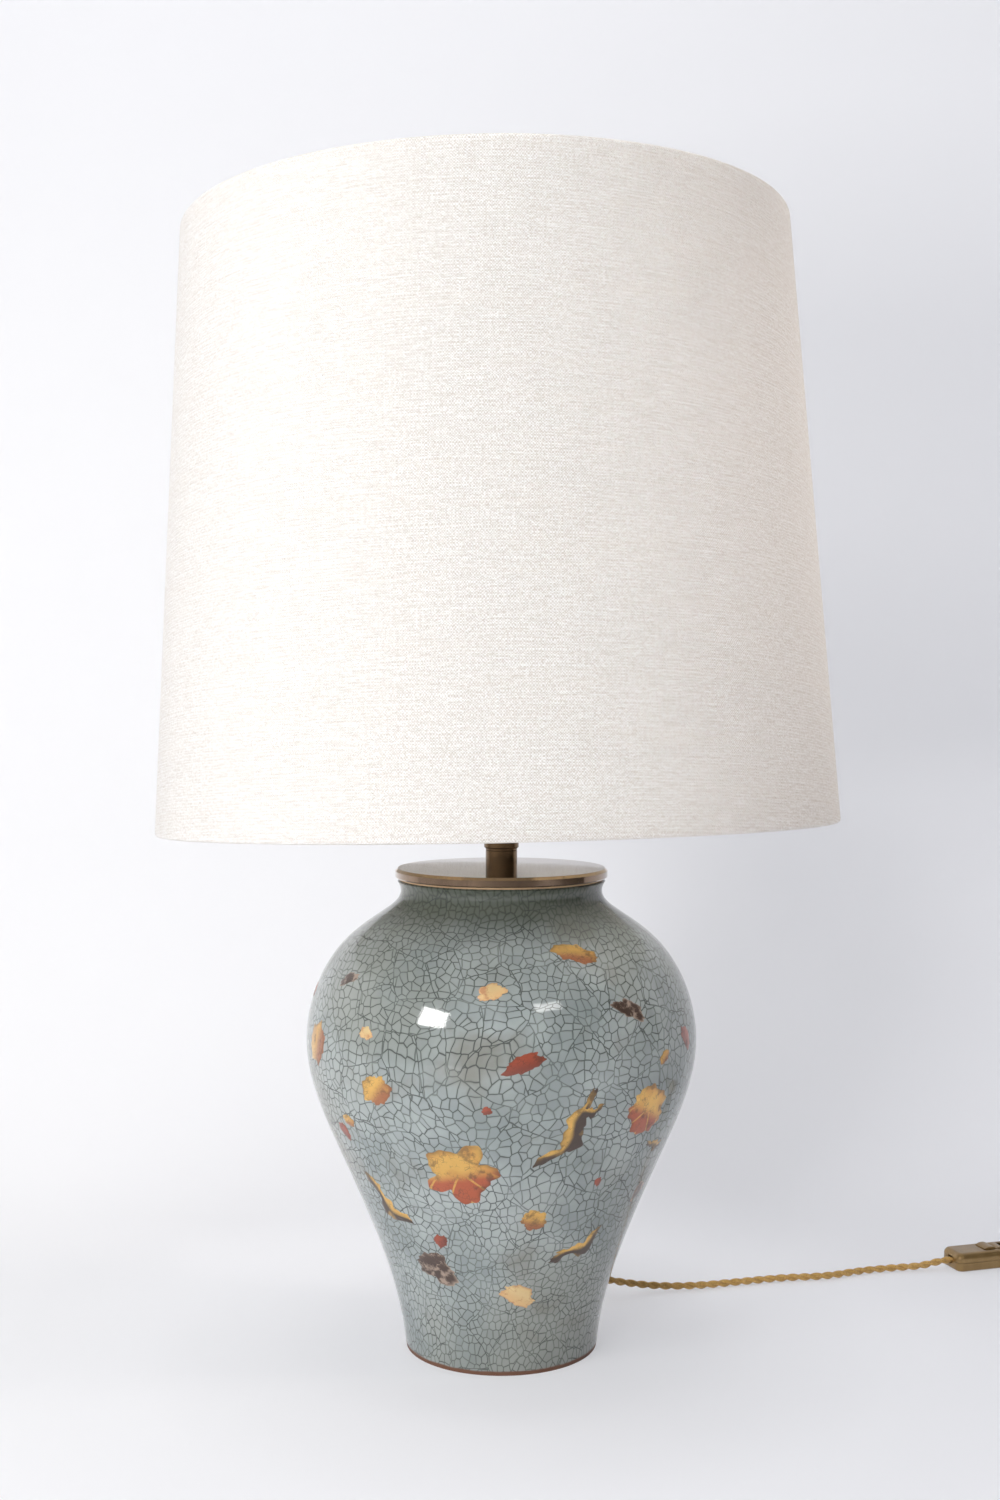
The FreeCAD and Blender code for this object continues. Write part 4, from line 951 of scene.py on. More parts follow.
    def outline(self, motif: Motif, angle: float, phases: Sequence[float]) -> float:
        """Tear a fragment's outline.

        Args:
            motif: the kind of fragment.
            angle: radians round its middle.
            phases: the random phases of its own tears.

        Returns:
            How far the outline reaches at that angle, about 1.
        """
        lobes = {Motif.LEAF: (5, 0.13), Motif.PETAL: (2, 0.10), Motif.FLAKE: (3, 0.16)}
        count, depth = lobes.get(motif, (3, 0.10))
        tears = sum(
            amount * math.sin(waves * angle + phase)
            for amount, waves, phase in zip(self.tears, self.tear_waves, phases)
        )
        return 1.0 + depth * math.cos(count * angle + math.pi / 2) + tears

    def twig(self, along: float, across: float, phases: Sequence[float]) -> tuple[float, float]:
        """Knot and bend a twig.

        Args:
            along: the place, from -1 at one end to 1 at the other.
            across: the place across it, from -1 to 1.
            phases: the random phases of its knots and bends.

        Returns:
            How wide it is at that place, and how far it bends aside there.
        """
        knots = 0.62 + 0.26 * math.sin(4.3 * along + phases[0])
        knots += 0.16 * math.sin(11 * along + phases[1])
        ragged = 0.10 * math.sin(23 * along + 2 * across + phases[2])
        bend = 0.16 * (along * along - 0.4) + 0.05 * math.sin(5.0 * along + phases[3])
        return max(0.3, knots + ragged), bend

    def add_fragment(self, shape: bmesh.types.BMesh, own_map: Any, fragment: Fragment) -> None:
        """Shape a grid into a fragment and lay it on the jar.

        Args:
            shape: the mesh that holds all fragments of this motif.
            own_map: its map layer.
            fragment: what to lay, and where.
        """
        sheet = bmesh.ops.create_grid(shape, x_segments=self.grid, y_segments=self.grid, size=1.0)
        made = sheet["verts"]
        phases = [self.random.uniform(0, 2 * math.pi) for _ in self.tears]
        azimuth = math.radians(fragment.azimuth - 90)
        out = Vector((math.cos(azimuth), math.sin(azimuth), 0))
        start = out * self.reach + Vector((0, 0, fragment.height))
        seat, normal, _, _ = self.tree.ray_cast(start, -out)
        side = Vector((0, 0, 1)).cross(normal).normalized()
        up = normal.cross(side)
        spin = math.radians(fragment.turned)
        long_way = side * math.cos(spin) + up * math.sin(spin)
        short_way = up * math.cos(spin) - side * math.sin(spin)
        flat = {}
        for vertex in made:
            x, y = vertex.co.x, vertex.co.y
            u = x * math.sqrt(1 - y * y / 2)
            v = y * math.sqrt(1 - x * x / 2)
            rho = math.hypot(u, v)
            stretch = 1 + (self.outline(fragment.motif, math.atan2(v, u), phases) - 1) * rho
            flat[vertex] = (u, v)
            across, along = u * stretch * fragment.length / 2, v * stretch * fragment.width / 2
            if fragment.motif is Motif.TWIG:
                wide, bend = self.twig(u, v, phases)
                along = v * wide * fragment.width / 2 + bend * fragment.length
            spot = seat + long_way * across + short_way * along
            near, face_normal, _, _ = self.tree.find_nearest(spot)
            height = self.lift * (1 - rho**6) - self.tuck * rho**24
            vertex.co = near + face_normal * height
        for face in {face for vertex in made for face in vertex.link_faces}:
            for loop in face.loops:
                loop[own_map].uv = flat[loop.vert]


# ---------------------------------------------------------------- metalwork and lampholder


@dataclass
class Metalwork:
    """The cap on the jar, the neck, the clamp inside, and the lampholder with its rings."""

    cap_top: float = 0.3556
    cap_chamfer: float = 0.002
    cap_radius: float = 0.0787

    def build(self) -> None:
        """Dress every metal and moulded piece of the base."""
        chamfer = (self.cap_top - self.cap_chamfer, self.cap_top)
        cap = DarkBronze(
            "cap_bronze", roughness=0.09, rubbed_highlight_band=chamfer,
            rubbed_highlight_from=self.cap_radius - self.cap_chamfer, lacquer=0.8,
        )
        dress(cap, "cap")
        dress(DarkBronze("neck_bronze", base=(0.20, 0.12, 0.055)), "neck_tube", "neck_collar")
        steel = Plain("zinc_steel", (0.55, 0.55, 0.53), (0.38, 0.37, 0.35), 0.35, 1.0)
        dress(steel, "clamp_bar", "clamp_washer", "clamp_nut", "threaded_rod")
        black, worn = (0.022, 0.021, 0.020), (0.035, 0.033, 0.031)
        moulded = Plain("black_moulding", black, worn, 0.32, coat=0.2)
        dress(moulded, "holder_dome", "holder_barrel", "shade_ring_lower", "shade_ring_upper")
        porcelain = Plain("porcelain", (0.80, 0.79, 0.75), (0.72, 0.70, 0.66), 0.22, coat=0.5)
        dress(porcelain, "holder_insulator")
        brass = Plain("contact_brass", (0.72, 0.50, 0.20), (0.50, 0.33, 0.13), 0.30, 1.0)
        dress(brass, "holder_socket", "holder_contact")


@dataclass
class Bulb:
    """The screw-in globe bulb."""

    def build(self) -> None:
        """Dress the bulb."""
        nickel = Plain("nickel_cap", (0.66, 0.64, 0.60), (0.45, 0.43, 0.40), 0.25, 1.0)
        frosted = Plain("frosted_glass", (0.90, 0.89, 0.87), (0.84, 0.83, 0.81), 0.30, coat=0.4)
        black = Plain("bulb_insulator", (0.02, 0.02, 0.03), (0.04, 0.04, 0.05), 0.35)
        solder = Plain("solder", (0.45, 0.45, 0.44), (0.32, 0.32, 0.31), 0.40, 1.0)
        dress(nickel, "bulb_base")
        dress(frosted, "bulb_glass")
        dress(black, "bulb_insulator")
        dress(solder, "bulb_tip")


# ---------------------------------------------------------------- shade


@dataclass
class Shade:
    """The linen shade on its wires, leaning a little back and left, as its own axis stands."""

    bottom_radius: float = 0.2500
    top_radius: float = 0.2231
    height: float = 0.4394
    drop: float = 0.0293
    stand: tuple[float, float, float] = (-0.0032, 0.0, 0.4150)
    lean_back: float = math.radians(2.12)
    lean_left: float = math.radians(1.21)
    cloth: float = 0.0009
    fold: float = 0.0060
    hem: float = 0.0110
    fold_radius: float = 0.0022
    fold_steps: int = 4
    wall_steps: int = 24
    steps: int = 240
    notch_half: float = 0.0045
    notch_margin: float = 0.002
    arm_azimuths: tuple[float, float, float] = (90.0, 210.0, 330.0)
    seam_azimuth: float = 78.0
    lap: float = 0.010
    lap_steps: int = 3

    def place(self) -> Matrix:
        """Return where the shade's own axis stands in the frame."""
        lean = Matrix.Rotation(-self.lean_back, 4, "X") @ Matrix.Rotation(-self.lean_left, 4, "Y")
        return Matrix.Translation(self.stand) @ lean

    def slant(self) -> float:
        """Return the shade's slant height."""
        return math.hypot(self.bottom_radius - self.top_radius, self.height)

    def at(self, up: float, depth: float) -> tuple[float, float]:
        """Find a point of the cloth.

        Args:
            up: how far up the slant.
            depth: how deep inside.

        Returns:
            Its radius and height.
        """
        along_r = (self.top_radius - self.bottom_radius) / self.slant()
        along_z = self.height / self.slant()
        radius = self.bottom_radius + along_r * up - along_z * depth
        return radius, -self.drop + along_z * up + along_r * depth

    def section(self) -> list[tuple[float, float, float]]:
        """Draw the cloth's section: hem, fold, wall, fold and hem.

        Returns:
            (distance up the slant, depth inside, distance along the cloth) of each point.
        """
        slant, deep, face = self.slant(), self.fold - self.cloth / 2, self.cloth / 2
        turns = [math.pi / 2 * step / self.fold_steps for step in range(self.fold_steps + 1)]
        corner = [(1 - math.cos(turn), 1 - math.sin(turn)) for turn in turns]
        radius = self.fold_radius
        low = [(face + radius * b, deep - radius * a) for a, b in corner]
        low += [(face + radius * a, face + radius * b) for b, a in reversed(corner)]
        points = [(self.hem, deep)] + low
        inner, outer = points[-1][0], slant - points[-1][0]
        points += [
            (inner + (outer - inner) * step / self.wall_steps, face)
            for step in range(1, self.wall_steps)
        ]
        points += [(slant - up, depth) for up, depth in reversed(low)] + [(slant - self.hem, deep)]
        out, run = [], 0.0
        for index, (up, depth) in enumerate(points):
            if index:
                run += math.dist(points[index - 1], (up, depth))
            out.append((up, depth, run))
        return out

    def build(self) -> None:
        """Build the linen and dress the lining, wires and fitter."""
        white = Plain("lining", (0.86, 0.845, 0.80), (0.84, 0.822, 0.775), 0.55, grain=180.0)
        dress(white, "shade_liner")
        enamel = Plain("white_enamel", (0.78, 0.775, 0.75), (0.70, 0.69, 0.66), 0.35, coat=0.3)
        arms = [f"shade_arm_{number}" for number in (1, 2, 3)]
        dress(enamel, "shade_wire_bottom", "shade_wire_top", "shade_fitter", *arms)
        self.add_cover()

    def add_cover(self) -> None:
        """Spin the cloth round the wires and map it as its flat cut."""
        shape = bmesh.new()
        cloth_run = shape.verts.layers.float.new("run")
        start = math.radians(self.seam_azimuth)
        self.sweep(shape, cloth_run, self.fold, 0.0, 2 * math.pi, self.steps)
        bmesh.ops.recalc_face_normals(shape, faces=shape.faces[:])
        lapped = self.add_lap(shape, cloth_run)
        cut = shape.loops.layers.uv.new("Cut")
        sine = (self.bottom_radius - self.top_radius) / self.slant()
        apex = self.bottom_radius / sine
        for face in shape.faces:
            middle = face.calc_center_median()
            centre_turn = (math.atan2(middle.y, middle.x) - start) % (2 * math.pi)
            for loop in face.loops:
                spot = loop.vert.co
                turned = (math.atan2(spot.y, spot.x) - start) % (2 * math.pi)
                if turned - centre_turn > math.pi:
                    turned -= 2 * math.pi
                elif centre_turn - turned > math.pi:
                    turned += 2 * math.pi
                if face in lapped:
                    turned += 2 * math.pi
                reach = apex - loop.vert[cloth_run]
                swing = (turned - math.pi) * sine
                loop[cut].uv = (reach * math.sin(swing), apex - reach * math.cos(swing))
        self.cut_notches(shape)
        bmesh.ops.transform(shape, matrix=self.place(), verts=shape.verts[:])
        mesh = mesh_of("linen_cover", shape, Linen().material())
        piece = keep("linen_cover", mesh, "shade")
        thick = piece.modifiers.new("Thickness", "SOLIDIFY")
        thick.thickness = self.cloth
        thick.offset = 0.0
        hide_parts("shade_cover")

    def sweep(
        self, shape: bmesh.types.BMesh, cloth_run: Any, deepest: float, lifted: float,
        angle: float, steps: int,
    ) -> None:
        """Draw the cloth's section at the seam and sweep it round the shade's axis.

        Args:
            shape: the cover's mesh.
            cloth_run: its layer of distances along the cloth.
            deepest: how deep inside a point of the section may lie, to take part.
            lifted: how far outside its own place the section is drawn.
            angle: how far round it goes.
            steps: how many steps that takes.
        """
        line = []
        for up, depth, run in self.section():
            if depth <= deepest:
                radius, level = self.at(up, depth - lifted)
                vertex = shape.verts.new((radius, 0, level))
                vertex[cloth_run] = run
                line.append(vertex)
        edges = [shape.edges.new(pair) for pair in zip(line, line[1:])]
        seam = Matrix.Rotation(math.radians(self.seam_azimuth), 3, "Z")
        bmesh.ops.rotate(shape, verts=line, cent=(0, 0, 0), matrix=seam)
        bmesh.ops.spin(
            shape, geom=line + edges, cent=(0, 0, 0), axis=(0, 0, 1), angle=angle,
            steps=steps, use_merge=angle >= 2 * math.pi, use_duplicate=False,
        )

    def add_lap(self, shape: bmesh.types.BMesh, cloth_run: Any) -> set[bmesh.types.BMFace]:
        """Lay the cloth's far end over its start, as the glued seam at the back.

        Args:
            shape: the cover's mesh.
            cloth_run: its layer of distances along the cloth.

        Returns:
            The faces of the lap.
        """
        before = set(shape.faces)
        round_by = self.lap / self.bottom_radius
        self.sweep(shape, cloth_run, self.cloth, self.cloth, round_by, self.lap_steps)
        made = set(shape.faces) - before
        middles = {face: Vector((*face.calc_center_median().xy, 0)) for face in made}
        wrong = [face for face in made if face.normal.dot(middles[face]) < 0]
        bmesh.ops.reverse_faces(shape, faces=wrong)
        return made

    def cut_notches(self, shape: bmesh.types.BMesh) -> None:
        """Take the inner hem away where an arm passes through it.

        Args:
            shape: the cover's mesh, before it is placed.
        """
        gone = []
        top = -self.drop + self.hem + self.notch_margin
        limit = self.at(0.0, self.fold - self.cloth)[0]
        for face in shape.faces:
            middle = face.calc_center_median()
            if middle.z > top or math.hypot(middle.x, middle.y) > limit:
                continue
            for azimuth in self.arm_azimuths:
                turned = math.atan2(middle.y, middle.x) - math.radians(azimuth)
                turned = (turned + math.pi) % (2 * math.pi) - math.pi
                if abs(turned) * self.bottom_radius < self.notch_half:
                    gone.append(face)
        bmesh.ops.delete(shape, geom=gone, context="FACES")


# ---------------------------------------------------------------- cord, switch and plug


@dataclass
class Flex:
    """A cord of two fabric-covered strands twisted round each other."""

    diameter: float = 0.0060
    strand: float = 0.00325
    pitch: float = 0.0200
    spacing: float = 0.00125
    floor: float = 0.0032
    ring: int = 10
    coil_centre: tuple[float, float] = (0.530, 0.240)
    coil_radius: float = 0.042
    half_pitch: float = 0.00335
    layer_rise: float = 0.0066
    layer_arcs: int = 5
    arc_points: int = 8

    def drawn(
        self, name: str, kind: str, lines: Sequence[Sequence[Sequence[float]]], **settings: Any
    ) -> bpy.types.Mesh:
        """Draw lines as one curve.

        Args:
            name: the curve's name.
            kind: the kind of its splines.
            lines: the points of each.
            settings: the curve's own properties.

        Returns:
            The mesh that the curve makes.
        """
        curve = bpy.data.curves.new(name, "CURVE")
        curve.dimensions = "3D"
        for key, value in settings.items():
            setattr(curve, key, value)
        for line in lines:
            spline = curve.splines.new(kind)
            spline.points.add(len(line) - 1)
            for place, point in zip(spline.points, line):
                place.co = (*point, 1.0)
            if kind == "NURBS":
                spline.order_u = 3
                spline.use_endpoint_u = True
        holder = bpy.data.objects.new(name, curve)
        mesh = bpy.data.meshes.new_from_object(holder)
        bpy.data.objects.remove(holder)
        bpy.data.curves.remove(curve)
        return mesh

    def centre_line(self, name: str, points: Sequence[Sequence[float]]) -> list[Vector]:
        """Smooth a route.

        Args:
            name: the route's name.
            points: its control points.

        Returns:
            Evenly spaced points along it.
        """
        mesh = self.drawn(name, "NURBS", [points], resolution_u=20)
        found = [vertex.co.copy() for vertex in mesh.vertices]
        bpy.data.meshes.remove(mesh)
        return self.spaced(found)

    def spaced(self, points: Sequence[Vector]) -> list[Vector]:
        """Space a line evenly.

        Args:
            points: its points.

        Returns:
            Points along it at this cord's own spacing.
        """
        runs = [(b - a).length for a, b in zip(points, points[1:])]
        count = max(2, round(sum(runs) / self.spacing))
        step = sum(runs) / count
        out, index, passed = [points[0]], 0, 0.0
        for number in range(1, count):
            target = number * step
            while passed + runs[index] < target:
                passed += runs[index]
                index += 1
            share = (target - passed) / runs[index]
            out.append(points[index].lerp(points[index + 1], share))
        return out + [points[-1]]

    def twist(self, name: str, centres: Sequence[Vector]) -> bpy.types.Object:
        """Wind two strands round a centre line.

        Args:
            name: the piece's name.
            centres: points along the line.

        Returns:
            The cord as one mesh, mapped along and round each strand.
        """
        offset = (self.diameter - self.strand) / 2
        side = (centres[1] - centres[0]).cross(Vector((0, 0, 1))).normalized()
        strands: list[list[Vector]] = [[], []]
        run, last = 0.0, centres[0]
        for index, centre in enumerate(centres):
            after = centres[min(index + 1, len(centres) - 1)]
            before = centres[max(index - 1, 0)]
            tangent = (after - before).normalized()
            side = (side - tangent * side.dot(tangent)).normalized()
            above = tangent.cross(side)
            run += (centre - last).length
            last = centre
            for strand, start in zip(strands, (0.0, math.pi)):
                angle = start + 2 * math.pi * run / self.pitch
                shift = side * math.cos(angle) + above * math.sin(angle)
                strand.append(centre + shift * offset)
        mesh = self.drawn(
            name, "POLY", strands, bevel_depth=self.strand / 2,
            bevel_resolution=(self.ring - 4) // 2, use_fill_caps=True,
        )
        return self.mapped(name, mesh, len(centres))

    def mapped(self, name: str, mesh: bpy.types.Mesh, rings: int) -> bpy.types.Object:
        """Map the strands, whose vertices stand ring after ring, and keep them.

        Args:
            name: the piece's name.
            mesh: both strands.
            rings: how many rings each has.

        Returns:
            The piece.
        """
        mesh.name = name
        around = len(mesh.vertices) // (2 * rings)
        layer = mesh.uv_layers.new(name="Braid")
        for polygon in mesh.polygons:
            turns = [mesh.loops[i].vertex_index % around for i in polygon.loop_indices]
            wraps = max(turns) - min(turns) > around // 2
            for index, turned in zip(polygon.loop_indices, turns):
                ring_number = (mesh.loops[index].vertex_index // around) % rings
                if wraps and turned < around // 2:
                    turned += around
                layer.data[index].uv = (ring_number * self.spacing, turned / around)
            polygon.use_smooth = True
        for other in [item for item in mesh.uv_layers if item.name != "Braid"]:
            mesh.uv_layers.remove(other)
        mesh.materials.clear()
        mesh.materials.append(self.finish)
        return keep(name, mesh, "base")

    def coil(self) -> list[tuple[float, float, float]]:
        """Wind the coil: in over one layer, a climb, and out over the next.

        Returns:
            Its control points.
        """
        centre, radius = Vector((*self.coil_centre, 0.0)), self.coil_radius
        widen = 1 / (0.75 + 0.25 * math.cos(math.pi / self.arc_points))
        angle, level, points = -math.pi / 2, self.floor, []
        for arc in range(2 * self.layer_arcs + 2):
            rise = self.layer_rise if arc == self.layer_arcs else 0.0
            for part in range(self.arc_points):
                share = (part + 0.5) / self.arc_points
                turned = angle + share * math.pi
                reach = radius * widen
                points.append((
                    centre.x + reach * math.cos(turned),
                    centre.y + reach * math.sin(turned),
                    level + rise * (3 * share**2 - 2 * share**3),
                ))
            change = -self.half_pitch if arc < self.layer_arcs else self.half_pitch
            level += rise
            angle += math.pi
            centre -= Vector((math.cos(angle), math.sin(angle), 0)) * change
            radius += change
        return points

    def build(self) -> None:
        """Lay both stretches of cord: jar to switch, and switch to plug."""
        self.finish = TwistedSilk().material()
        floor = self.floor
        to_switch = [
            (0.04009, 0.05725, 0.03129), (0.04547, 0.06493, 0.02923), (0.05611, 0.08013, 0.02514),
            (0.087, 0.098, 0.013), (0.122, 0.110, 0.0046), (0.158, 0.1145, floor),
            (0.200, 0.1265, floor), (0.235, 0.136, floor), (0.268, 0.1385, floor),
            (0.300, 0.1535, floor), (0.329, 0.161, floor), (0.351, 0.163, floor + 0.0006),
            (0.367, 0.1668, 0.0066), (0.380, 0.1706, 0.0072),
        ]
        to_plug = [
            (0.4525, 0.19278, 0.0072), (0.46407, 0.19631, 0.0069), (0.484, 0.1996, floor + 0.0001),
            (0.5055, 0.198, floor), (0.5235, 0.198, floor),
            *self.coil(),
            (0.5365, 0.198, 0.0098), (0.5495, 0.198, 0.0098), (0.56815, 0.19418, 0.00685),
            (0.580, 0.1923, 0.00685), (0.584, 0.19167, 0.00685),
        ]
        self.lay_cord(
            "flex_to_switch", to_switch, ["cord_to_switch"],
        )
        self.lay_cord(
            "flex_to_plug", to_plug, ["cord_to_coil", "cord_coil", "cord_to_plug"],
        )
        dress(Plain("inner_lead", (0.60, 0.58, 0.52), (0.50, 0.48, 0.43), 0.6), "inner_lead")

    def lay_cord(
        self, name: str, points: Sequence[Sequence[float]], nodes: Sequence[str],
    ) -> None:
        """Args:
            name: the piece's name.
            points: the route's control points.
            nodes: the CAD cords that it replaces.
        """
        centres = self.centre_line(name, points)
        piece = self.twist(name, centres)
        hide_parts(*nodes)
        length = sum((b - a).length for a, b in zip(centres, centres[1:]))


@dataclass
class SwitchAndPlug:
    """The hand switch with its rounded case and rocker, the two-pin plug, and the coil's tie."""

    stand: tuple[float, float] = (0.378, 0.170)
    yaw: float = math.radians(17.0)
    length: float = 0.080
    width: float = 0.028
    low: float = 0.0073
    top: float = 0.0150
    corner: float = 0.0060
    edge: float = 0.0047
    wall: float = 0.0016
    window: tuple[float, float] = (0.0119, 0.0074)
    cord_slot: tuple[float, float] = (0.0034, 0.0107)
    end_depth: float = 0.0004
    corner_steps: int = 7
    edge_steps: int = 6
    lip: float = 0.00035
    lip_from: float = math.radians(50)
    tie_reach: tuple[float, float] = (0.2648, 0.2922)
    tie_width: float = 0.008
    tie_top: float = 0.0134
    tie_corner: float = 0.0042
    tie_thickness: float = 0.0004
    tie_lift: float = 0.0001
    latch: tuple[float, float, float] = (0.0072, 0.009, 0.0012)
    latch_back: float = 0.003
    latch_sunk: float = 0.0003
    latch_corner: float = 0.0004
    coil_middle: float = 0.530

    def build(self) -> None:
        """Dress both, round the switch's case and tie the coil."""
        moulding = Plain(
            "gold_moulding", (0.335, 0.215, 0.085), (0.255, 0.158, 0.058), 0.30, 0.6,
            grain=700.0, coat=0.3,
        )
        gold = dress(moulding, "switch_lower", "switch_rocker", "plug_body")
        steel = Plain("switch_steel", (0.60, 0.59, 0.56), (0.42, 0.41, 0.39), 0.3, 1.0)
        dress(steel, "switch_pin", "switch_screws", "plug_pins")
        self.add_case_top(gold)
        self.add_tie()

    def add_case_top(self, gold: bpy.types.Material) -> None:
        """Round the upper half of the switch's case.

        Args:
            gold: its finish.
        """
        shape = bmesh.new()
        middle = (self.length / 2, 0, (self.top + self.low) / 2)
        block(shape, (self.length, self.width, self.top - self.low), middle)
        drop_facing(shape, Vector((0, 0, -1)))
        round_off(shape, edges_along(shape, 2), self.corner, self.corner_steps)
        rim = [
            edge for edge in shape.edges
            if all(abs(vertex.co.z - self.top) < 1e-6 for vertex in edge.verts)
        ]
        round_off(shape, rim, self.edge, self.edge_steps)
        self.open_case(shape)
        bmesh.ops.recalc_face_normals(shape, faces=shape.faces[:])
        face_up(shape)
        turned = Matrix.Translation((*self.stand, 0)) @ Matrix.Rotation(self.yaw, 4, "Z")
        bmesh.ops.transform(shape, matrix=turned, verts=shape.verts)
        piece = keep("switch_case_top", mesh_of("switch_case_top", shape, gold), "base")
        shell = piece.modifiers.new("Wall", "SOLIDIFY")
        shell.thickness = self.wall
        shell.offset = -1.0
        lips = piece.modifiers.new("Lips", "BEVEL")
        lips.width = self.lip
        lips.segments = 2
        lips.angle_limit = self.lip_from
        even = piece.modifiers.new("Even", "WEIGHTED_NORMAL")
        even.keep_sharp = True
        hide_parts("switch_upper")

    def open_case(self, shape: bmesh.types.BMesh) -> None:
        """Cut the rocker's window into the top and the cord's slots into the ends.

        Args:
            shape: the case's upper half.
        """
        half_long, half_wide = self.window
        slot_half, slot_top = self.cord_slot
        centre = self.length / 2
        cuts = [(0, centre - half_long), (0, centre + half_long), (1, -half_wide), (1, half_wide)]
        for axis, place in cuts + [(1, -slot_half), (1, slot_half), (2, slot_top)]:
            normal = Vector((0, 0, 0))
            normal[axis] = 1
            geometry = [*shape.verts, *shape.edges, *shape.faces]
            bmesh.ops.bisect_plane(shape, geom=geometry, plane_co=normal * place, plane_no=normal)
        gone = []
        for face in shape.faces:
            at = face.calc_center_median()
            in_window = abs(at.x - centre) < half_long and abs(at.y) < half_wide
            at_end = min(at.x, self.length - at.x) < self.end_depth
            in_slot = at_end and abs(at.y) < slot_half and at.z < slot_top
            if (in_window and at.z > self.top - 1e-5) or in_slot:
                gone.append(face)
        bmesh.ops.delete(shape, geom=gone, context="FACES")

    def add_tie(self) -> None:
        """Close a fabric band round the back of the coil, with its fastening on top."""
        near, far = self.tie_reach
        shape = bmesh.new()
        block(shape, (self.tie_width, far - near, self.tie_top))
        drop_facing(shape, Vector((1, 0, 0)), both=True)
        round_off(shape, edges_along(shape, 0), self.tie_corner, 6)
        bmesh.ops.recalc_face_normals(shape, faces=shape.faces[:])
        bmesh.ops.solidify(shape, geom=shape.faces[:], thickness=self.tie_thickness)
        on_top = (0, -self.latch_back, self.tie_top / 2 + self.latch_sunk)
        latch = block(shape, self.latch, on_top)
        round_off(shape, {e for v in latch for e in v.link_edges}, self.latch_corner, 2)
        middle = (self.coil_middle, (near + far) / 2, self.tie_top / 2 + self.tie_lift)
        bmesh.ops.translate(shape, vec=middle, verts=shape.verts)
        black, worn = (0.050, 0.045, 0.040), (0.085, 0.078, 0.070)
        felt = Plain("tie_felt", black, worn, 0.85, grain=900.0, depth=0.0003)
        piece = keep("coil_tie", mesh_of("coil_tie", shape, felt.material(), False), "base")


# ---------------------------------------------------------------- studio


@dataclass(frozen=True)
class SoftBox:
    """A rectangular lamp: where it hangs round the lamp, its size, power and colour.

    Angles are degrees from the front towards the right, and up. A mirrored one only shows in gloss.
    """

    name: str
    azimuth: float
    elevation: float
    distance: float
    size: tuple[float, float]
    power: float
    colour: Colour
    mirrored: bool = False
    spread: float = 180.0
    aim: float = 0.35


@dataclass(frozen=True)
class BackdropPaper:
    """Pale paper, lifted a little by a painted glow that the camera and reflections see, and clear
    from behind.

    Its tone and glow carry painted light: lighter on the left and on the floor in front, darker
    to the right and dimmer up the wall.
    """

    name: str = "backdrop_paper"
    left: Colour = (0.86, 0.86, 0.88)
    right: Colour = (0.84, 0.845, 0.875)
    near: Colour = (0.93, 0.935, 0.965)
    lift_left: Colour = (0.98, 0.985, 1.0)
    lift_right: Colour = (0.92, 0.93, 0.985)
    lift_top: Colour = (0.86, 0.87, 0.92)
    lift: float = 0.42

    def material(self) -> bpy.types.Material:
        """Colour the paper.

        Returns:
            The material.
        """
        shader = Shader(self.name)
        seen = shader.ray("Camera").larger(shader.ray("Glossy"))
        east, north, height = shader.axes(shader.place())
        # Painted light: the paper's colour and glow fall off to the right and up the wall, and rise
        # on the floor in front.
        across = east.rise(-0.7, 0.6)
        tone = shader.mix(across, self.left, self.right)
        tone = shader.mix(north.rise(0.05, -0.45), tone, self.near)
        lift = shader.mix(across, self.lift_left, self.lift_right)
        lift = shader.mix(height.rise(0.65, 1.35), lift, self.lift_top)
        matt = shader.node("ShaderNodeBsdfDiffuse", sockets={"Color": tone})
        glow = shader.node("ShaderNodeEmission", sockets={"Color": lift})
        layers = {0: seen * self.lift, 1: matt, 2: glow}
        paper = shader.node("ShaderNodeMixShader", sockets=layers)
        behind = shader.node("ShaderNodeNewGeometry", output="Backfacing")
        clear = shader.node("ShaderNodeBsdfTransparent")
        sides = {0: behind, 1: paper, 2: clear}
        return shader.close(shader.node("ShaderNodeMixShader", sockets=sides))


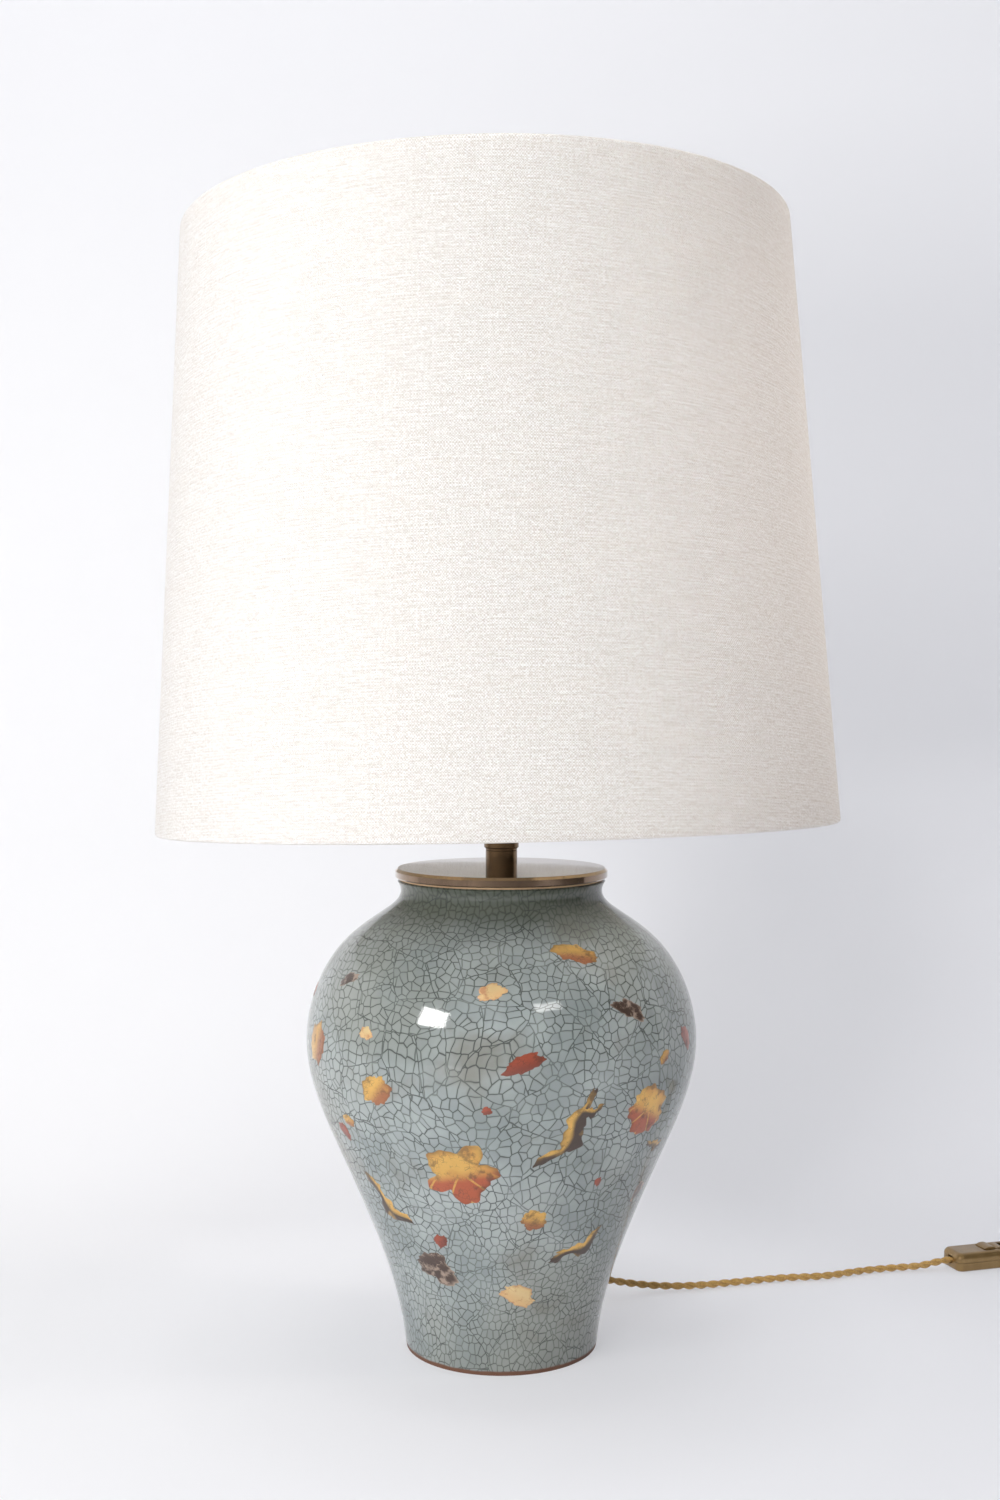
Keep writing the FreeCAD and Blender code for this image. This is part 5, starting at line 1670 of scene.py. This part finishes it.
@dataclass
class Studio:
    """The camera, the plain pale room and its soft lamps."""

    eye: tuple[float, float, float] = (-0.00104, -1.3511, 0.48998)
    tilt: float = math.radians(87.989)
    focal: float = 43.80
    film: float = 36.0
    wall: float = 0.64
    curve_radius: float = 0.32
    curve_steps: int = 16
    half_width: float = 3.0
    front: float = -2.6
    top: float = 2.6
    air: Colour = (0.955, 0.96, 1.0)
    air_level: float = 0.285
    air_fall: float = 0.27
    air_seen: float = 0.84

    def build(self) -> None:
        """Set everything up."""
        self.add_camera()
        self.add_room()
        self.add_lamps()
        self.add_world()
        bpy.context.scene.view_settings.view_transform = "Standard"

    def add_camera(self) -> None:
        """Place the camera at the photograph's viewpoint."""
        camera = bpy.data.cameras.new("view")
        camera.sensor_fit = "VERTICAL"
        camera.sensor_height = self.film
        camera.lens = self.focal
        holder = hang("view", camera)
        holder.location = self.eye
        holder.rotation_euler = (self.tilt, 0, 0)
        bpy.context.scene.camera = holder

    def add_room(self) -> None:
        """Sweep the floor up into the wall in one soft curve."""
        shape = bmesh.new()
        centre = self.wall - self.curve_radius
        section = [(self.front, 0.0), (centre, 0.0)]
        for step in range(1, self.curve_steps + 1):
            angle = math.pi / 2 * step / self.curve_steps
            up = self.curve_radius * (1 - math.cos(angle))
            section.append((centre + self.curve_radius * math.sin(angle), up))
        section.append((self.wall, self.top))
        line = [shape.verts.new((-self.half_width, y, z)) for y, z in section]
        edges = [shape.edges.new(pair) for pair in zip(line, line[1:])]
        swept = bmesh.ops.extrude_edge_only(shape, edges=edges)["geom"]
        moved = [item for item in swept if isinstance(item, bmesh.types.BMVert)]
        bmesh.ops.translate(shape, verts=moved, vec=(2 * self.half_width, 0, 0))
        face_up(shape)
        room = hang("room", mesh_of("room", shape, BackdropPaper().material()))

    def add_lamp(self, box: SoftBox) -> None:
        """Hang a soft box that faces the lamp.

        Args:
            box: which one.
        """
        light = bpy.data.lights.new(box.name, "AREA")
        light.shape = "RECTANGLE"
        light.size, light.size_y = box.size
        light.energy = box.power
        light.color = box.colour
        light.spread = math.radians(box.spread)
        holder = hang(box.name, light)
        turned, raised = math.radians(box.azimuth - 90), math.radians(box.elevation)
        level = math.cos(raised)
        out = Vector((level * math.cos(turned), level * math.sin(turned), math.sin(raised)))
        holder.location = Vector((0, 0, box.aim)) + out * box.distance
        holder.rotation_euler = out.to_track_quat("Z", "Y").to_euler()
        holder.visible_diffuse = not box.mirrored
        holder.visible_glossy = box.mirrored

    def add_lamps(self) -> None:
        """Hang the soft boxes that light, and the two that only the glaze and metal mirror."""
        warm, plain = (1.0, 0.91, 0.84), (1.0, 0.99, 0.975)
        for box in (
            SoftBox("side_box", -27, 2, 2.4, (0.6, 0.6), 26.6, plain),
            SoftBox("key_box", -41, 36, 2.2, (0.75, 0.62), 11.8, plain),
            SoftBox("top_box", -20, 80, 2.0, (0.8, 0.8), 12.0, plain),
            SoftBox("shade_box", 82, 18, 2.0, (0.5, 0.5), 1.0, warm, spread=34.0, aim=0.58),
            SoftBox("key_window", -42.5, 24.0, 2.2, (0.66, 0.42), 24.0, plain, mirrored=True),
            SoftBox("far_window", 30, 34.0, 2.4, (0.64, 0.24), 4.0, plain, mirrored=True),
        ):
            self.add_lamp(box)

    def add_world(self) -> None:
        """Fill the room with faintly cool light, stronger from the left, and pale where seen."""
        world = bpy.data.worlds.new("room_light")
        shader = Shader("room_light", world)
        towards_right = shader.axes(shader.node("ShaderNodeTexCoord", output="Generated"))[0]
        seen = shader.ray("Camera")
        level = self.air_level - towards_right * self.air_fall
        strength = level * (1.0 - seen) + seen * self.air_seen
        sockets = {"Color": self.air, "Strength": strength}
        shader.close(shader.node("ShaderNodeBackground", sockets=sockets))
        bpy.context.scene.world = world


def main() -> None:
    """Build the studio and the lamp."""
    logging.basicConfig(level=logging.INFO, format="%(message)s")
    for item in list(bpy.data.objects):
        if item.name in ("Cube", "Light", "Camera"):
            bpy.data.objects.remove(item)
    for part in (Studio(), SwitchAndPlug(), Flex(), Jar(), Metalwork(), Bulb(), Shade()):
        part.build()
        log.info("%s done", type(part).__name__)


if __name__ == "__main__":
    main()
